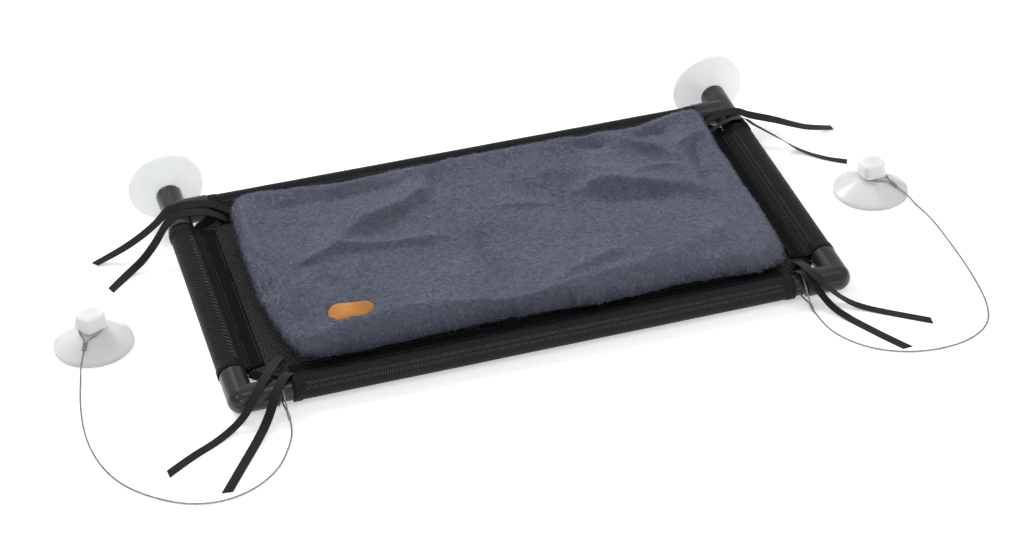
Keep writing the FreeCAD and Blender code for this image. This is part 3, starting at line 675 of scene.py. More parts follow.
def seam_rows(way, inward, centre, length, angle, broad):
    """Ribs along a sleeve, at an angle round its tube: one broad column or two slanted ones."""
    columns, step, reach, radius = ((0, 0.22),), 5.3, 9.0, 0.7
    if not broad:
        columns, step, reach, radius = ((-1, 0.45), (1, -0.45)), 2.3, 4.0, 0.38
    run = length - 24
    rows = []
    for column, lean in columns:
        turn = math.radians(angle + column * 11)
        out = inward * math.cos(turn) + UP * math.sin(turn)
        round_way = -inward * math.sin(turn) + UP * math.cos(turn)
        rib = round_way * math.cos(lean) + way * math.sin(lean)
        start = centre + out * (SLEEVE_R + 0.5) - way * run / 2
        rows.append((start, way * step, int(run / step), rib, np.cross(out, rib), out, reach,
                     radius))
    return rows


def hem_rows(way, inward, centre, length):
    """Lock stitches along both edges of a hem."""
    rows = []
    for reach, height in ((17.9, 1.78), (28.6, 1.52)):
        run = length - 12.0 * (reach - HEM_START) / (HEM_REACH - HEM_START) - 6.0
        start = centre + inward * reach - way * run / 2 + UP * height
        rows.append((start, way * 3.1, int(run / 3.1), way, inward, UP, 2.2, 0.27))
    return rows


SIDES = {
    # way along the tube, way inward, centre, length, and its ribbed seam's angle and breadth
    "front_sleeve": ((1, 0, 0), (0, 1, 0), (0, 0, 0), 482.0, 138, False),
    "rear_sleeve": ((1, 0, 0), (0, -1, 0), (0, DEPTH, 0), 506.0, 40, False),
    "left_sleeve": ((0, 1, 0), (1, 0, 0), (-HALF_W, DEPTH / 2, 0), 220.0, 54, True),
    "right_sleeve": ((0, 1, 0), (-1, 0, 0), (HALF_W, DEPTH / 2, 0), 220.0, 38, False),
}
for seed, (name, (*axes, length, angle, broad)) in enumerate(SIDES.items(), 11):
    way, inward, centre = np.array(axes, float)
    sleeve = make_sleeve(f"{name}_cloth", way, inward, centre, length, seed)
    dress(sleeve, sleeve_cloth, "root", "sleeve_mesh", name)
    paint_hem(sleeve, inward, centre)
    seam = seam_rows(way, inward, centre, length, angle, broad)
    stitches = make_stitches(f"{name}_stitches", hem_rows(way, inward, centre, length) + seam)
    dress(stitches, sewing_thread, "root", "sleeve_mesh")


def make_panel():
    """The open mesh under the pad: an octagon that sags by up to 1.6 mm at its middle.

    A row's half width shrinks towards the front and the rear along the cut corners.
    """
    half_u, half_v = HALF_W - 13.4, DEPTH / 2 - 13.4
    cut_u, cut_v = 15.5, 11.7
    s = np.linspace(-1, 1, 121)
    t = np.linspace(-1, 1, 81)[:, None]
    into_corner = np.clip((np.abs(t) * half_v - (half_v - cut_v)) / cut_v, 0, 1)
    u = s * (half_u - cut_u * into_corner)
    v = t * half_v
    points = spread(u, v + DEPTH / 2, -1.6 * (1 - s ** 2) * (1 - t ** 2))
    piece = make_mesh("mesh_panel_weave", leaning(points), grid_faces(81, 121),
                      spread(u, v) * MM)
    thicken(piece, 0.7)
    return piece


def make_bindings():
    """A folded tape along each cut corner: a flat tube of cloth that bows in by 1.4 mm."""
    across, over = np.split(circle(16) * (5.0, 1.15), 2, axis=-1)
    t = np.linspace(0, 1, 15)[:, None]
    for side, side_name in ((-1, "left"), (1, "right")):
        for tube_v, way_v, tube_name in ((0, 1, "front"), (DEPTH, -1, "rear")):
            start = np.array((side * 273.0, tube_v + way_v * 29.0, 0))
            end = np.array((side * 254.5, tube_v + way_v * 14.8, 0))
            inner = np.array((-side, way_v, 0)) / math.sqrt(2)
            line = start + (end - start) * t + inner * (4 * t * (1 - t) * 1.4 + 2.6)
            rings = line[:, None] + inner * across + UP * over
            piece = skin(f"{side_name}_{tube_name}_binding", leaning(rings), t[:, 0] * 0.023)
            dress(piece, hem_cloth, "root", "panel_mesh")


make_bindings()
panel = make_panel()
dress(panel, open_mesh, "root", "panel_mesh", "mesh_panel")


# ------------------------------------------------------------------ plush pad and its label

PAD_FOOT = 1.9        # height of the pad's underside in the leaning frame, in mm
PAD_H = 17.0          # its thickness without the folds, in mm
# The four edges of the pad's plan, in mm.
PAD_LEFT = ((-232, 284), (-243, 257), (-247, 187), (-247, 119), (-240, 70), (-235, 45),
            (-226, 27))
PAD_FRONT = ((-226, 27), (-179, 20), (-126, 20), (-71, 21), (-21, 23), (-4, 20), (56, 18),
             (98, 19), (140, 20), (182, 20), (221, 18), (247, 26))
PAD_RIGHT = ((247, 26), (253, 45), (256, 84), (256, 132), (255, 198), (256, 240), (257, 283))
PAD_REAR = ((-232, 284), (-188, 272), (-131, 265), (-72, 269), (-12, 271), (20, 271),
            (84, 272), (147, 273), (194, 276), (257, 283))


def pad_spread(rows, columns):
    """The pad's plan as a Coons patch: its four edges blended across."""
    s = np.linspace(0, 1, columns)[None, :, None]
    t = np.linspace(0, 1, rows)[:, None, None]
    front, rear = smooth_line(PAD_FRONT, columns)[None], smooth_line(PAD_REAR, columns)[None]
    left = smooth_line(PAD_LEFT[::-1], rows)[:, None]
    right = smooth_line(PAD_RIGHT, rows)[:, None]
    corners = ((1 - s) * (1 - t) * front[:, :1] + s * (1 - t) * front[:, -1:]
               + (1 - s) * t * rear[:, :1] + s * t * rear[:, -1:])
    return (1 - t) * front + t * rear + (1 - s) * left + s * right - corners


def pad_shell():
    """Two skins over the plan that meet at its edge in a quarter round."""
    rows, columns = 66, 120
    plan = pad_spread(rows, columns)
    s = np.linspace(0, 1, columns)
    t = np.linspace(0, 1, rows)[:, None]
    rise = 1
    for reach, rounding in (
            (s * 480, 10), ((1 - s) * 480, 9), (t * 255, 33), ((1 - t) * 255, 9)):
        rise = rise * np.sqrt(1 - (1 - np.clip(reach / rounding, 0, 1)) ** 2)
    thick = (PAD_H - 2.0) / 2 * rise
    skins = [spread(plan[..., 0], plan[..., 1], PAD_FOOT + PAD_H / 2 + height)
             for height in (thick, -thick)]
    upper = np.array(grid_faces(rows, columns))
    lower = upper[:, ::-1] + rows * columns
    piece = make_mesh("pad_shell", np.array(skins) * MM, np.vstack([upper, lower]).tolist())
    face_out(piece, weld=2e-5)
    return piece


def remesh(piece, voxel):
    """Even quads over a closed piece."""
    cut = piece.modifiers.new("even", "REMESH")
    cut.mode = "VOXEL"
    cut.voxel_size = voxel
    cut.use_smooth_shade = True
    finish_modifiers(piece)


def inflate(piece, cap):
    """Blows a closed piece up as cloth, by no more than the cap, and hardly widens its plan."""
    before = read(piece.data.vertices, "co")
    cloth = piece.modifiers.new("cloth", "CLOTH")
    cloth.settings.use_pressure = True
    cloth.settings.uniform_pressure_force = 4.0
    cloth.settings.quality = 6
    cloth.settings.mass = 0.25
    cloth.settings.tension_stiffness = 12
    cloth.settings.compression_stiffness = 12
    cloth.settings.bending_stiffness = 0.4
    cloth.settings.effector_weights.gravity = 0
    cloth.collision_settings.use_collision = False
    scene = bpy.context.scene
    for number in range(1, 21):
        scene.frame_set(number)
    after = read(evaluated(piece).vertices, "co")
    scene.frame_set(1)
    piece.modifiers.clear()
    move = (after - before) * (0.12, 0.12, 1.0)
    length = np.linalg.norm(move, axis=-1, keepdims=True)
    move *= np.minimum(1, cap / np.maximum(length, 1e-9))
    set_points(piece.data, before + move)


def fold(plan, line, before, behind, height):
    """A soft fold along a bent line: exp(-distance / width) with a blunt crest, for each side.

    The left of a line's way is behind it, the right is before it. Its ends fade out.
    """
    line = np.array(line, float)
    done = distances(line)
    nearest = np.full(len(plan), np.inf)
    signed, along = np.zeros(len(plan)), np.zeros(len(plan))
    for start, run, past in zip(line, np.diff(line, axis=0), done):
        length = np.linalg.norm(run)
        offset = plan - start
        share = np.clip(offset @ run / length ** 2, 0, 1)
        away = np.linalg.norm(offset - share[:, None] * run, axis=-1)
        closer = away < nearest
        nearest = np.where(closer, away, nearest)
        signed = np.where(closer, run[0] * offset[:, 1] - run[1] * offset[:, 0], signed)
        along = np.where(closer, past + share * length, along)
    fade = np.clip(np.minimum(along, done[-1] - along) / min(38, done[-1] * 0.42), 0, 1)
    width = np.where(signed > 0, behind, before)
    fall = np.exp(0.35 - np.sqrt((nearest / width) ** 2 + 0.35 ** 2))
    return height * fade * fade * (3 - 2 * fade) * fall


FOLD_HEIGHT = 1.65    # what every height below is multiplied by
FOLDS = (
    # line on the pad's plan, its widths before and behind, and its height, all in mm
    (((-240, 262), (-150, 252), (-60, 253), (0, 254), (100, 254), (170, 255)), 19, 6, 5.5),
    (((168, 256), (200, 259), (262, 266)), 13, 8, 3.0),
    (((136, 258), (150, 244), (160, 230), (172, 219), (188, 209), (212, 199)), 6, 5, 7.5),
    (((100, 250), (128, 243), (150, 233)), 9, 8, -5.0),
    (((168, 250), (192, 250), (220, 243)), 8, 8, -5.0),
    (((194, 211), (220, 223), (248, 233)), 6, 5, 4.0),
    (((70, 170), (105, 174), (125, 174), (150, 164), (178, 150), (220, 132)), 8, 9, 7.5),
    (((84, 158), (135, 150), (190, 134)), 9, 8, -2.6),
    (((30, 203), (88, 209), (118, 199), (150, 186)), 15, 12, 4.0),
    (((144, 192), (210, 184)), 4, 5, 3.0),
    (((217, 232), (221, 185), (216, 135)), 8, 8, -5.5),
    (((246, 266), (246, 180), (245, 66)), 7, 7, 3.2),
    (((-166, 150), (-145, 171), (-125, 188), (-100, 196), (-80, 201), (-60, 214), (-48, 246)),
     7, 13, 5.6),
    (((-146, 160), (-105, 174), (-66, 198)), 10, 8, -1.6),
    (((-218, 143), (-180, 149), (-158, 158), (-140, 156), (-112, 149), (-85, 146), (-40, 145)),
     4, 8, 3.4),
    (((-36, 266), (-40, 225), (-49, 195)), 8, 8, -3.4),
    (((-21, 165), (-24, 110), (-17, 45)), 6, 8, -4.8),
    (((-6, 179), (25, 172), (72, 160)), 4, 6, 2.6),
    (((-216, 42), (-175, 42), (-145, 44), (-100, 45), (-75, 40), (-40, 32), (0, 29), (50, 36),
      (100, 43), (140, 51), (170, 63), (216, 82)), 17, 6, 6.5),
    (((6, 38), (45, 55), (75, 68), (116, 79)), 6, 9, 4.2),
    (((-229, 272), (-232, 200), (-225, 145), (-221, 100), (-214, 52)), 8, 7, 5.0),
    (((-205, 118), (-206, 85), (-201, 54)), 6, 7, -3.8),
    (((-204, 146), (-178, 142)), 7, 7, -3.0),
    (((-196, 113), (-162, 107)), 9, 9, -2.6),
    (((-222, 238), (-130, 234), (-50, 238)), 12, 9, -2.6),
    (((-200, 68), (-170, 67), (-140, 64)), 6, 7, -2.6),
    (((-10, 29), (25, 24), (60, 29)), 4, 4, 2.6),
)


def make_pad():
    """The plush pad: a blown-up shell with folds, a soft unevenness and clumps of pile."""
    piece = pad_shell()
    remesh(piece, voxel=0.0066)
    inflate(piece, cap=0.004)
    divide = piece.modifiers.new("fine", "SUBSURF")
    divide.levels = divide.render_levels = 2
    finish_modifiers(piece)
    mesh = piece.data
    points, normals = read(mesh.vertices, "co"), read(mesh.vertices, "normal")
    plan = points[:, :2] / MM
    upward = np.clip(normals[:, 2] * 1.4, 0, 1)
    lift = sum(fold(plan, *facts) for facts in FOLDS) * FOLD_HEIGHT
    lift += lattice_noise(points, 0.06, 21) * 1.2 + lattice_noise(points, 0.024, 22) * 0.8
    brushed = points @ np.array([[0.9, 0.45, 0], [-0.3, 0.6, 0], [0, 0, 1]])
    pile = lattice_noise(brushed, 0.0062, 23) * 0.32 + lattice_noise(brushed, 0.0031, 24) * 0.6
    corner = np.linalg.norm((plan - (262, 284)) / (75, 60), axis=-1)
    points[:, 2] += (lift * upward + 4.0 * np.exp(-corner ** 2)) * MM
    points += normals * (pile * MM)[:, None]
    points[:, 2] = np.maximum(points[:, 2], PAD_FOOT * MM)
    set_points(mesh, leaning(points / MM))
    piece.name = "plush_pad_cover"
    shade_smooth(mesh)
    return piece


pad = make_pad()
dress(pad, plush, "root", "plush", "plush_pad")


def make_pile(cover, count):
    """Tufts over the pad's top and sides: short three-sided spikes that lie the brushed way.

    A tuft starts at a vertex of the cover, leans along a slow swirl with a finer unrest, and
    ends in one point.
    """
    chance = np.random.default_rng(31)
    vertices = cover.data.vertices
    points, normals = read(vertices, "co"), read(vertices, "normal")
    open_air = np.flatnonzero(normals[:, 2] > -0.3)
    picked = chance.choice(open_air, min(count, len(open_air)), replace=False)
    points, normals = points[picked], normals[picked]
    slow_and_fine = (
        lattice_noise(points, 0.07, seed) * 0.9 + lattice_noise(points, 0.009, seed + 1) * 0.25
        + drift for seed, drift in ((32, 0.35), (34, -0.55)))
    swirl = spread(*slow_and_fine, -0.25)
    swirl += chance.normal(0, 0.3, swirl.shape)
    swirl = unit(swirl - normals * np.sum(swirl * normals, axis=-1, keepdims=True))
    side = np.cross(normals, swirl)
    length = chance.uniform(1.7, 3.3, (len(points), 1)) * MM
    length *= 1 + 1.1 * np.clip(1 - normals[:, 2:] * 1.25, 0, 1)
    width = chance.uniform(0.42, 0.7, (len(points), 1)) * MM
    root = points - normals * 0.5 * MM
    corners = [root + (side * math.cos(turn) + normals * math.sin(turn) * 0.7) * width
               for turn in np.radians((90, 210, 330))]
    corners.append(points + (normals * 0.5 + swirl * 0.86) * length)
    uv = np.tile([(0, 0), (0, 0), (0, 0), (0, 1)], (len(points), 1))
    base = np.arange(len(points))[:, None] * 4
    faces = np.vstack([base + face for face in ((2, 1, 0), (0, 1, 3), (1, 2, 3), (2, 0, 3))])
    return make_mesh("plush_pad_pile", np.stack(corners, axis=1), faces.tolist(), uv)


dress(make_pile(pad, count=34000), pile_fibre, "root", "plush")


def rounded_square(half_u, half_v, corner, count):
    """A rounded rectangle as (x, y): each corner is a quarter circle."""
    quarter = np.radians(np.linspace(0, 90, count // 4))
    arc = spread(np.cos(quarter), np.sin(quarter)) * corner
    inner = np.array((half_u - corner, half_v - corner))
    return np.vstack([
        turned(arc, number * math.pi / 2) + inner * signs
        for number, signs in enumerate(((1, 1), (-1, 1), (-1, -1), (1, -1)))])


def pad_top(u, v):
    """Mean height of the pad's top within 16 by 6 mm of a point of its plan, in mm."""
    points = read(pad.data.vertices, "co")
    cos, sin = math.cos(LEAN), math.sin(LEAN)
    y, z = points[:, 1] - FRONT_Y, points[:, 2] - FITTING_R
    plan_u, plan_v = (points[:, 0] - OFFSET_X) / MM, (y * cos + z * sin) / MM
    height = (z * cos - y * sin) / MM
    near = (np.abs(plan_u - u) < 16) & (np.abs(plan_v - v) < 6) & (height > PAD_FOOT + 6)
    return float(height[near].mean())


def make_label_piece():
    """A leather slab with rounded edges, bent with the pad and half sunk in its pile."""
    outline = rounded_square(22.5, 11.0, 8.5, 48)
    top = pad_top(-168, 66)
    rings = []
    for share, height in ((0.94, -1.4), (1.0, -0.9), (1.0, 0.25), (0.985, 0.5), (0.95, 0.68),
                          (0.9, 0.72), (0.6, 0.74), (0.3, 0.74)):
        flat = outline * share
        bend = 3.2 - (flat[:, 0] / 20.0) ** 2 * 4.2 + flat[:, 1] * 0.12
        u, v = turned(flat, math.radians(-9)).T
        rings.append(spread(u - 167, v + 63.5, top + height + bend + 2.2))
    return skin("label_hide", leaning(rings))


dress(make_label_piece(), label_leather, "root", "leather", "leather_label")


# ------------------------------------------------------------------ suction cups and caps

CUP_X = 0.392         # axis of the right cable cup, and of the left one with its sign turned
CUP_Y = -0.0179184
BELL = 18.3           # height of a cup's bell, in mm
PANE_V = DEPTH + 30.7 + 0.2 + BELL  # axis of the front tube to the pane, in mm


def cup_rings():
    """The cup's profile (radius, height) in mm turned about its axis, from hollow to post."""
    hollow = smooth_line([(2.0, 12.6), (9.0, 12.5), (12.6, 12.1), (15.0, 11.1), (22.0, 7.9),
                          (29.0, 4.3), (33.2, 1.6), (35.4, 0.12)], 44)
    lip = smooth_line([(35.9, 0.0), (36.8, 0.0), (37.4, 0.5), (37.6, 1.6), (37.5, 3.0),
                       (37.1, 4.2), (36.3, 5.1), (35.2, 5.8)], 34)
    bell = smooth_line([(34.4, 6.3), (32.0, 7.8), (28.5, 10.0), (24.0, 12.8), (19.5, 15.3),
                        (16.4, 16.9), (14.6, 17.8), (13.4, 18.25), (12.2, BELL)], 50)
    post = np.array([(8.9, 0.0), (8.5, 0.25), (8.5, 5.0), (8.5, 13.6), (8.3, 14.4),
                     (7.6, 14.9), (4.0, 15.0)]) + (0, BELL)
    radius, height = np.vstack([hollow, lip, bell, post]).T[..., None]
    x, y = circle(128).T
    return spread(radius * x, radius * y, height)


def make_cups():
    rings = cup_rings()
    x, y, height = np.moveaxis(rings, -1, 0)
    for side, sign in (("left", -1), ("right", 1)):
        rear = skin(f"rear_{side}_cup_moulding",
                    leaning(spread(x + sign * HALF_W, PANE_V - height, y)))
        dress(rear, soft_pvc, "root", "clear_pvc", f"rear_{side}_cup")
        loose = skin(f"{side}_cable_cup_moulding", rings * MM + (sign * CUP_X, CUP_Y, 0))
        dress(loose, soft_pvc, f"{side}_cup", "clear_pvc", f"{side}_cable_cup")


def make_cap(side, sign, turn):
    """A screw cap: a rounded square that narrows upwards, its top edge rounded, bored below."""
    levels = [(circle(64) * radius, height) for radius, height in (
        (4.0, 12.05), (8.4, 12.05), (8.56, 11.9), (8.56, 0.5), (8.9, 0.0))]
    levels += [(rounded_square(half, half, corner, 64), height) for half, corner, height in (
        (12.4, 6.9, 0.0), (12.7, 7.0, 0.35), (12.65, 7.0, 1.2), (12.3, 7.0, 6.0),
        (12.0, 7.0, 11.2), (11.8, 6.9, 12.3), (11.3, 6.7, 13.2), (10.4, 6.3, 13.85),
        (9.0, 5.6, 14.15), (5.0, 3.2, 14.2))]
    rings = []
    for flat, height in levels:
        order = np.argsort(np.mod(np.arctan2(flat[:, 1], flat[:, 0]), 2 * math.pi))
        x, y = turned(flat[order], math.radians(turn)).T
        rings.append(spread(x, y, height + BELL + 3.3))
    piece = skin(f"{side}_cup_cap_moulding", np.array(rings) * MM + (sign * CUP_X, CUP_Y, 0))
    dress(piece, milky_plastic, f"{side}_cap", "cap_plastic", f"{side}_cup_cap")


make_cups()
make_cap("left", -1, 26)
make_cap("right", 1, 2)


# ------------------------------------------------------------------ cables

CABLE_R = 0.8         # mm
CLEAR = 0.35          # a cable's side to what its eye goes round or lies on, in mm
FERRULE = 8.0         # length of a ferrule, in mm
# Control points of the cables on the floor, in mm.
LEFT_ROUTE = (
    (-251, -44), (-261, -69), (-277, -95), (-303, -114), (-332, -120.5), (-361, -113.5),
    (-387, -94), (-408, -69), (-420.5, -38), (-426, -3), (-425.5, 32), (-421.5, 66), (-415.5, 98),
)
RIGHT_ROUTE = (
    (251.5, -55), (262, -82), (282, -105), (310, -119), (341, -123), (371, -118), (396, -101),
    (409, -72), (415.5, -37), (420, 2), (422.5, 43), (424, 80), (420, 111),
)


def make_rope(node, line, up):
    """Wire rope: six strands that wind round a line, each a tube of six sides.

    A strand's middle goes round at 0.52 mm from the line once in 9 mm.
    """
    line, along = even_line(line, 0.0007)
    _, side, crown = along_frame(line, np.array(up, float))
    across, over = np.split(circle(6) * 0.29 * MM, 2, axis=-1)
    turn = (along / 0.009 * 2 * math.pi + np.arange(6)[:, None] * math.pi / 3)[..., None]
    out = np.cos(turn) * side + np.sin(turn) * crown
    beside = np.cos(turn) * crown - np.sin(turn) * side
    middle = line + out * (0.52 * MM)
    tubes = middle[:, :, None] + out[:, :, None] * across + beside[:, :, None] * over
    size = len(line) * 6
    one = np.array(grid_faces(len(line), 6, closed=True))
    faces = []
    for base in range(0, size * 6, size):
        faces += (one + base).tolist()
        faces += [list(range(base + 5, base - 1, -1)), list(range(base + size - 6, base + size))]
    piece = make_mesh(f"{node}_rope", tubes, faces)
    face_out(piece)
    dress(piece, rope_steel, "root", "steel_rope", node)
    return piece, line, along[-1]


def eye_line(centre, out, side, half):
    """The line of an eye: one half of it as (outwards, sideways, up) in mm, and its mirror."""
    ring = [*half, *((a, -b, c) for a, b, c in reversed(half))]
    return loose_line(standing([centre + out * a + side * b + UP * c for a, b, c in ring]))


def tube_eye(reach):
    """Half an eye round the front tube, from its strand at the ferrule."""
    gap = 2 * CABLE_R * 0.56
    corner = (10 + CLEAR + CABLE_R) / math.cos(math.radians(22.5))
    return [(reach, gap, 0), (reach - 3 * gap, gap * 1.6, 0)] + [
        (corner * math.cos(a), corner * math.sin(a), 0) for a in np.radians((67.5, 112.5, 157.5))]


# Half the wide eye under a cap: it narrows to its ferrule down the bell.
CUP_EYE = ((21.5, 0.9, -3.3), (19.2, 1.1, -2.5), (15.4, 4.4, -1.0), (9.5, 9.2, 0),
           (-1.0, 11.4, 0), (-9.4, 6.6, 0))


def make_ferrule(place, start, way, side):
    """A crimped sleeve: a flat oval that two jaw marks pinch, its ends rolled in."""
    along, pinch = np.array((
        (0, 0.15, 0.5, 1.6, 2.1, 2.9, 3.4, 4.6, 5.1, 5.9, 6.4, 7.5, 7.85, FERRULE),
        (0.8, 0.93, 1, 1, 0.86, 0.86, 1, 1, 0.86, 0.86, 1, 1, 0.93, 0.8)))[..., None, None]
    ring = circle(28)
    across, over = np.split(np.sign(ring) * np.abs(ring) ** 0.8 * (2.2, 1.4), 2, axis=-1)
    rings = (start + way * along + side * (across * pinch)
             + np.cross(way, side) * (over * pinch ** 2))
    piece = skin(f"{place}_crimp", standing(rings))
    dress(piece, crimp_metal, "root", "ferrule_metal", f"{place}_ferrule")
    return piece


def make_cable(side, sign, heading, route):
    """A cable from the front tube to its cup, with an eye and a ferrule at either end."""
    down = math.radians(18)
    out = np.array([0, -math.cos(down), -math.sin(down)])
    up = np.array([0, -math.sin(down), math.cos(down)])
    tube, reach = np.array([sign * 250.5, 0, 12.8]), 24.0
    frame_eye, _, _ = make_rope(
        f"{side}_frame_eye", eye_line(tube, out, up, tube_eye(reach)), (1, 0, 0))
    start = tube + out * reach
    frame_ferrule = make_ferrule(f"{side}_frame", start, out, up)
    frame_end = start + out * FERRULE

    turn = math.radians(heading)
    away = np.array([math.cos(turn), math.sin(turn), 0])
    beside = np.cross(UP, away)
    fall = unit(away + (0, 0, -12.7 / 21.0))
    # The cup's axis from the middle of the front tube's, at the height of the eye.
    level = np.array([sign * 392 - 3.2, 146.2, BELL + CLEAR + CABLE_R])
    cup_eye, _, _ = make_rope(f"{side}_cup_eye", eye_line(level, away, beside, CUP_EYE), UP)
    start = level + away * 16.0 + fall * 5.6
    cup_ferrule = make_ferrule(f"{side}_cup", start, fall, beside)
    cup_end = start + fall * FERRULE

    lying = spread(*np.transpose(route), 0.9)
    lying[-1, 2] = 0.95
    points = standing(np.vstack([frame_end, lying, cup_end + fall * 17.0, cup_end]))
    rope, line, length = make_rope(f"{side}_cable", loose_line(points), UP)
    print(f"{side} cable is {length:.4f} m long")


make_cable("left", -1, -116.0, LEFT_ROUTE)
make_cable("right", 1, -45.0, RIGHT_ROUTE)


# ------------------------------------------------------------------ ties

TIES = {
    # control points of its line in mm, roll in degrees, slope of its cut end
    "front_left_tie_inner": ((
        (-234.5, 17, 16.5), (-240.5, 8.5, 25.8), (-249.5, -4, 29), (-259, -17, 22.5),
        (-268, -27, 8.5), (-280, -42.5, 1.4), (-304, -78, 0.5), (-324, -108.7, 0.5),
    ), 0, 0.5),
    "front_left_tie_outer": ((
        (-240, 46, 17.5), (-246.5, 34, 23), (-257, 12, 28.6), (-268.5, -4, 28.2),
        (-279.5, -16, 20.5), (-289.5, -21.5, 9), (-304, -28, 1.8), (-321, -39, 0.5),
        (-343, -50.5, 0.5), (-367, -67.5, 0.5),
    ), 0, -0.6),
    "front_right_tie_outer": ((
        (259.5, 32, 16.4), (257, 19, 24.6), (256.5, -4, 30.8), (262, -20, 27),
        (273.4, -28, 15.5), (285, -32, 6), (297, -39, 1.3), (318, -55.5, 0.5),
        (348.6, -79, 0.5),
    ), 0, 0.5),
    "front_right_tie_inner": ((
        (250, 16, 15.4), (249.5, 8, 25), (251, -5, 28.8), (257.5, -19, 20.5),
        (267, -33, 5.5), (277.8, -50.4, 0.9), (287.5, -69, 0.5), (297.5, -89, 0.5),
        (309.5, -110.4, 0.5),
    ), 0, -0.5),
    "rear_left_tie_outer": ((
        (-234, 270, 34.9), (-243, 273, 41), (-254.5, 276.5, 47),
        (-272, 277.5, 48.2), (-285, 277, 48.6), (-296.5, 276.5, 47),
        (-304.5, 276, 38.5), (-320, 279, 24), (-345.5, 280, 9),
        (-372, 277.7, 0.9),
    ), -28, 0.5),
    "rear_left_tie_inner": ((
        (-242, 262, 34.2), (-251, 264.5, 40), (-263, 266, 45.5),
        (-281, 266, 47), (-294, 265, 46), (-302, 264, 38),
        (-313, 262.5, 21.5), (-329, 257, 7), (-347, 247, 1.2),
        (-365, 228, 0.5),
    ), -22, -0.5),
    "rear_right_tie_outer": ((
        (256.5, 269.5, 33.7), (264, 268.5, 41), (272.5, 267, 46), (282, 265.8, 47.4),
        (294, 264.8, 46.8), (303, 264.3, 41), (316, 264, 36), (335, 265, 28),
        (355, 267, 17.5), (377, 269.5, 7), (403, 272, 0.9),
    ), 30, -0.1),
    "rear_right_tie_inner": ((
        (259, 256, 33.1), (266.5, 255, 39.5), (275, 253.8, 45), (285, 252.8, 46.2),
        (296, 252.2, 45), (303.5, 251.8, 37), (318, 251.5, 26), (336.5, 249, 12.5),
        (350, 242, 3), (363, 228, 0.5), (376.5, 214, 0.5), (390, 205, 0.5),
    ), -27, 0.1),
}


def make_tie(name, route, roll, slope):
    """A ribbon along its line: 9 by 0.7 mm, its end cut aslant, rolled where it hangs free.

    Each point's place along the line moves in proportion to how far across it lies, so that
    the end slants. The roll rises and falls as a half sine along the line.
    """
    line, along = even_line(loose_line(standing(route)), 0.0016)
    tangent, side, crown = along_frame(line, UP)
    length = along[-1]
    half, wall = 4.5, 0.35
    edge = np.radians([-60.0, -20.0, 20.0, 60.0])
    right = spread(half - wall + wall * np.cos(edge), wall * np.sin(edge))
    top = spread(np.linspace(3.6, -3.6, 7), wall * 0.9)
    loop = np.vstack([right, top, -right, -top]) * MM
    place = along[:, None] * (1 - loop[:, 0] * slope / length)
    beyond = np.maximum(place - length, 0)[..., None] * tangent[-1]
    lean = (np.radians(roll) * np.sin(math.pi * (along / length) ** 0.8))[:, None, None]

    def carry(field):
        """A quantity along the line at each point's own place."""
        return spread(*(np.interp(place, along, axis) for axis in field.T))

    centre, beside, above = carry(line) + beyond, carry(side), carry(crown)
    wide = beside * np.cos(lean) + above * np.sin(lean)
    tall = above * np.cos(lean) - beside * np.sin(lean)
    rings = centre + wide * loop[:, :1] + tall * loop[:, 1:]
    rings[..., 2] = np.maximum(rings[..., 2], 0.0001)
    piece = skin(f"{name}_ribbon", rings, lengths=along)
    dress(piece, ribbon, "root", "tie_webbing", name)
    print(f"{name} is {length:.4f} m long")


for name, facts in TIES.items():
    make_tie(name, *facts)


# ------------------------------------------------------------------ floor, light and camera

def seen_rays(tree):
    """One for what the camera, gloss or a see-through piece looks at; and one for gloss alone."""
    rays = add_node(tree, "ShaderNodeLightPath").outputs
    glossy = rays["Is Glossy Ray"]
    seen = math_node(tree, "MAXIMUM", rays["Is Camera Ray"], glossy)
    return math_node(tree, "MAXIMUM", seen, rays["Is Transmission Ray"]), glossy


# A pale floor that also glows for the camera, and for what mirrors or looks through.
pale = Finish("pale_floor", Base_Color=(0.8, 0.8, 0.8, 1), Roughness=0.9,
              Specular_IOR_Level=0.0, Emission_Color=(1, 1, 1, 1))
pale.feed("Emission Strength", pale.math("MULTIPLY", seen_rays(pale.tree)[0], 0.46))
floor = make_mesh("floor", [(-6, -6, 0), (6, -6, 0), (6, 6, 0), (-6, 6, 0)], [(0, 1, 2, 3)])
floor.data.materials.append(pale.material)

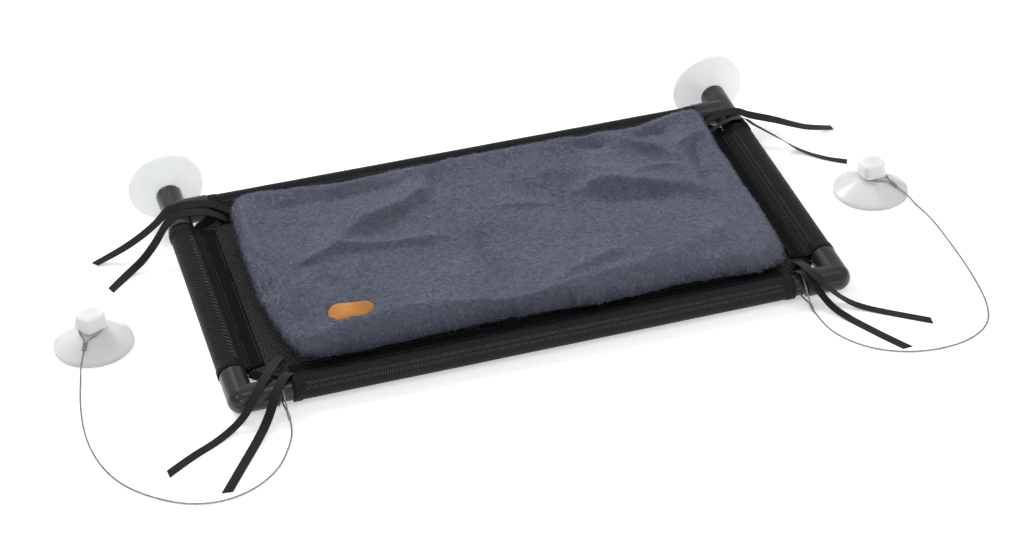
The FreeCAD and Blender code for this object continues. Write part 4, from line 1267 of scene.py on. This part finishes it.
world = bpy.data.worlds.new("studio")
bpy.context.scene.world = world
world.use_nodes = True
tree = world.node_tree
tree.nodes.clear()
seen, glossy = seen_rays(tree)
shown = math_node(tree, "MULTIPLY_ADD", seen, 0.64, 0.36)
strength = math_node(tree, "SUBTRACT", shown, math_node(tree, "MULTIPLY", glossy, 0.45))
sky = add_node(tree, "ShaderNodeBackground", {"Color": (1, 1, 1, 1), "Strength": strength})
add_node(tree, "ShaderNodeOutputWorld", {0: sky.outputs[0]})


def add_lamp(name, spot, aim, size, power, mirrored=True):
    """A square soft box that faces a point, and that gloss mirrors or not."""
    data = bpy.data.lights.new(name, "AREA")
    data.shape = "SQUARE"
    data.size = size
    data.energy = power
    lamp = new_object(name, data)
    lamp.location = spot
    way = Vector(aim) - Vector(spot)
    lamp.rotation_euler = way.to_track_quat("-Z", "Y").to_euler()
    lamp.visible_glossy = mirrored


add_lamp("rear_box", (-1.0, 1.9, 1.75), (0, 0, 0), 1.1, 72, mirrored=False)
add_lamp("right_fill", (1.8, -1.2, 1.0), (0, 0, 0), 1.0, 14, mirrored=False)
add_lamp("sheen_box", (-0.7, 1.5, 2.2), (0, 0, 0), 1.2, 4)
add_lamp("top_box", (0.55, -0.8, 2.4), (0.2, 0, 0), 0.8, 9)
add_lamp("front_box", (-0.5, -2.3, 0.9), (0, 0, 0), 0.8, 3.5)
add_lamp("left_lamp", (-1.6, -1.0, 1.9), (0, 0, 0), 0.12, 3)


def add_camera():
    """A camera at the photograph's place: its azimuth, height, roll and lens."""
    azimuth, height, roll = (math.radians(a) for a in (-16.736, 33.971, -1.658))
    distance, target = 2.3744, np.array((0.0124, -0.0258, 0.0))
    back = np.array((math.sin(azimuth) * math.cos(height),
                     -math.cos(azimuth) * math.cos(height), math.sin(height)))
    right = unit(np.cross(-back, UP))
    down = np.cross(-back, right)
    cos, sin = math.cos(roll), math.sin(roll)
    right, down = cos * right - sin * down, sin * right + cos * down
    data = bpy.data.cameras.new("camera")
    data.lens = 86.588
    data.sensor_width = 36
    data.clip_end = 50
    camera = new_object("camera", data)
    columns = np.column_stack([right, -down, back, target + back * distance])
    camera.matrix_world = Matrix([*columns.tolist(), (0, 0, 0, 1)])
    bpy.context.scene.camera = camera


add_camera()
bpy.context.scene.view_settings.view_transform = "Standard"
bpy.context.view_layer.update()
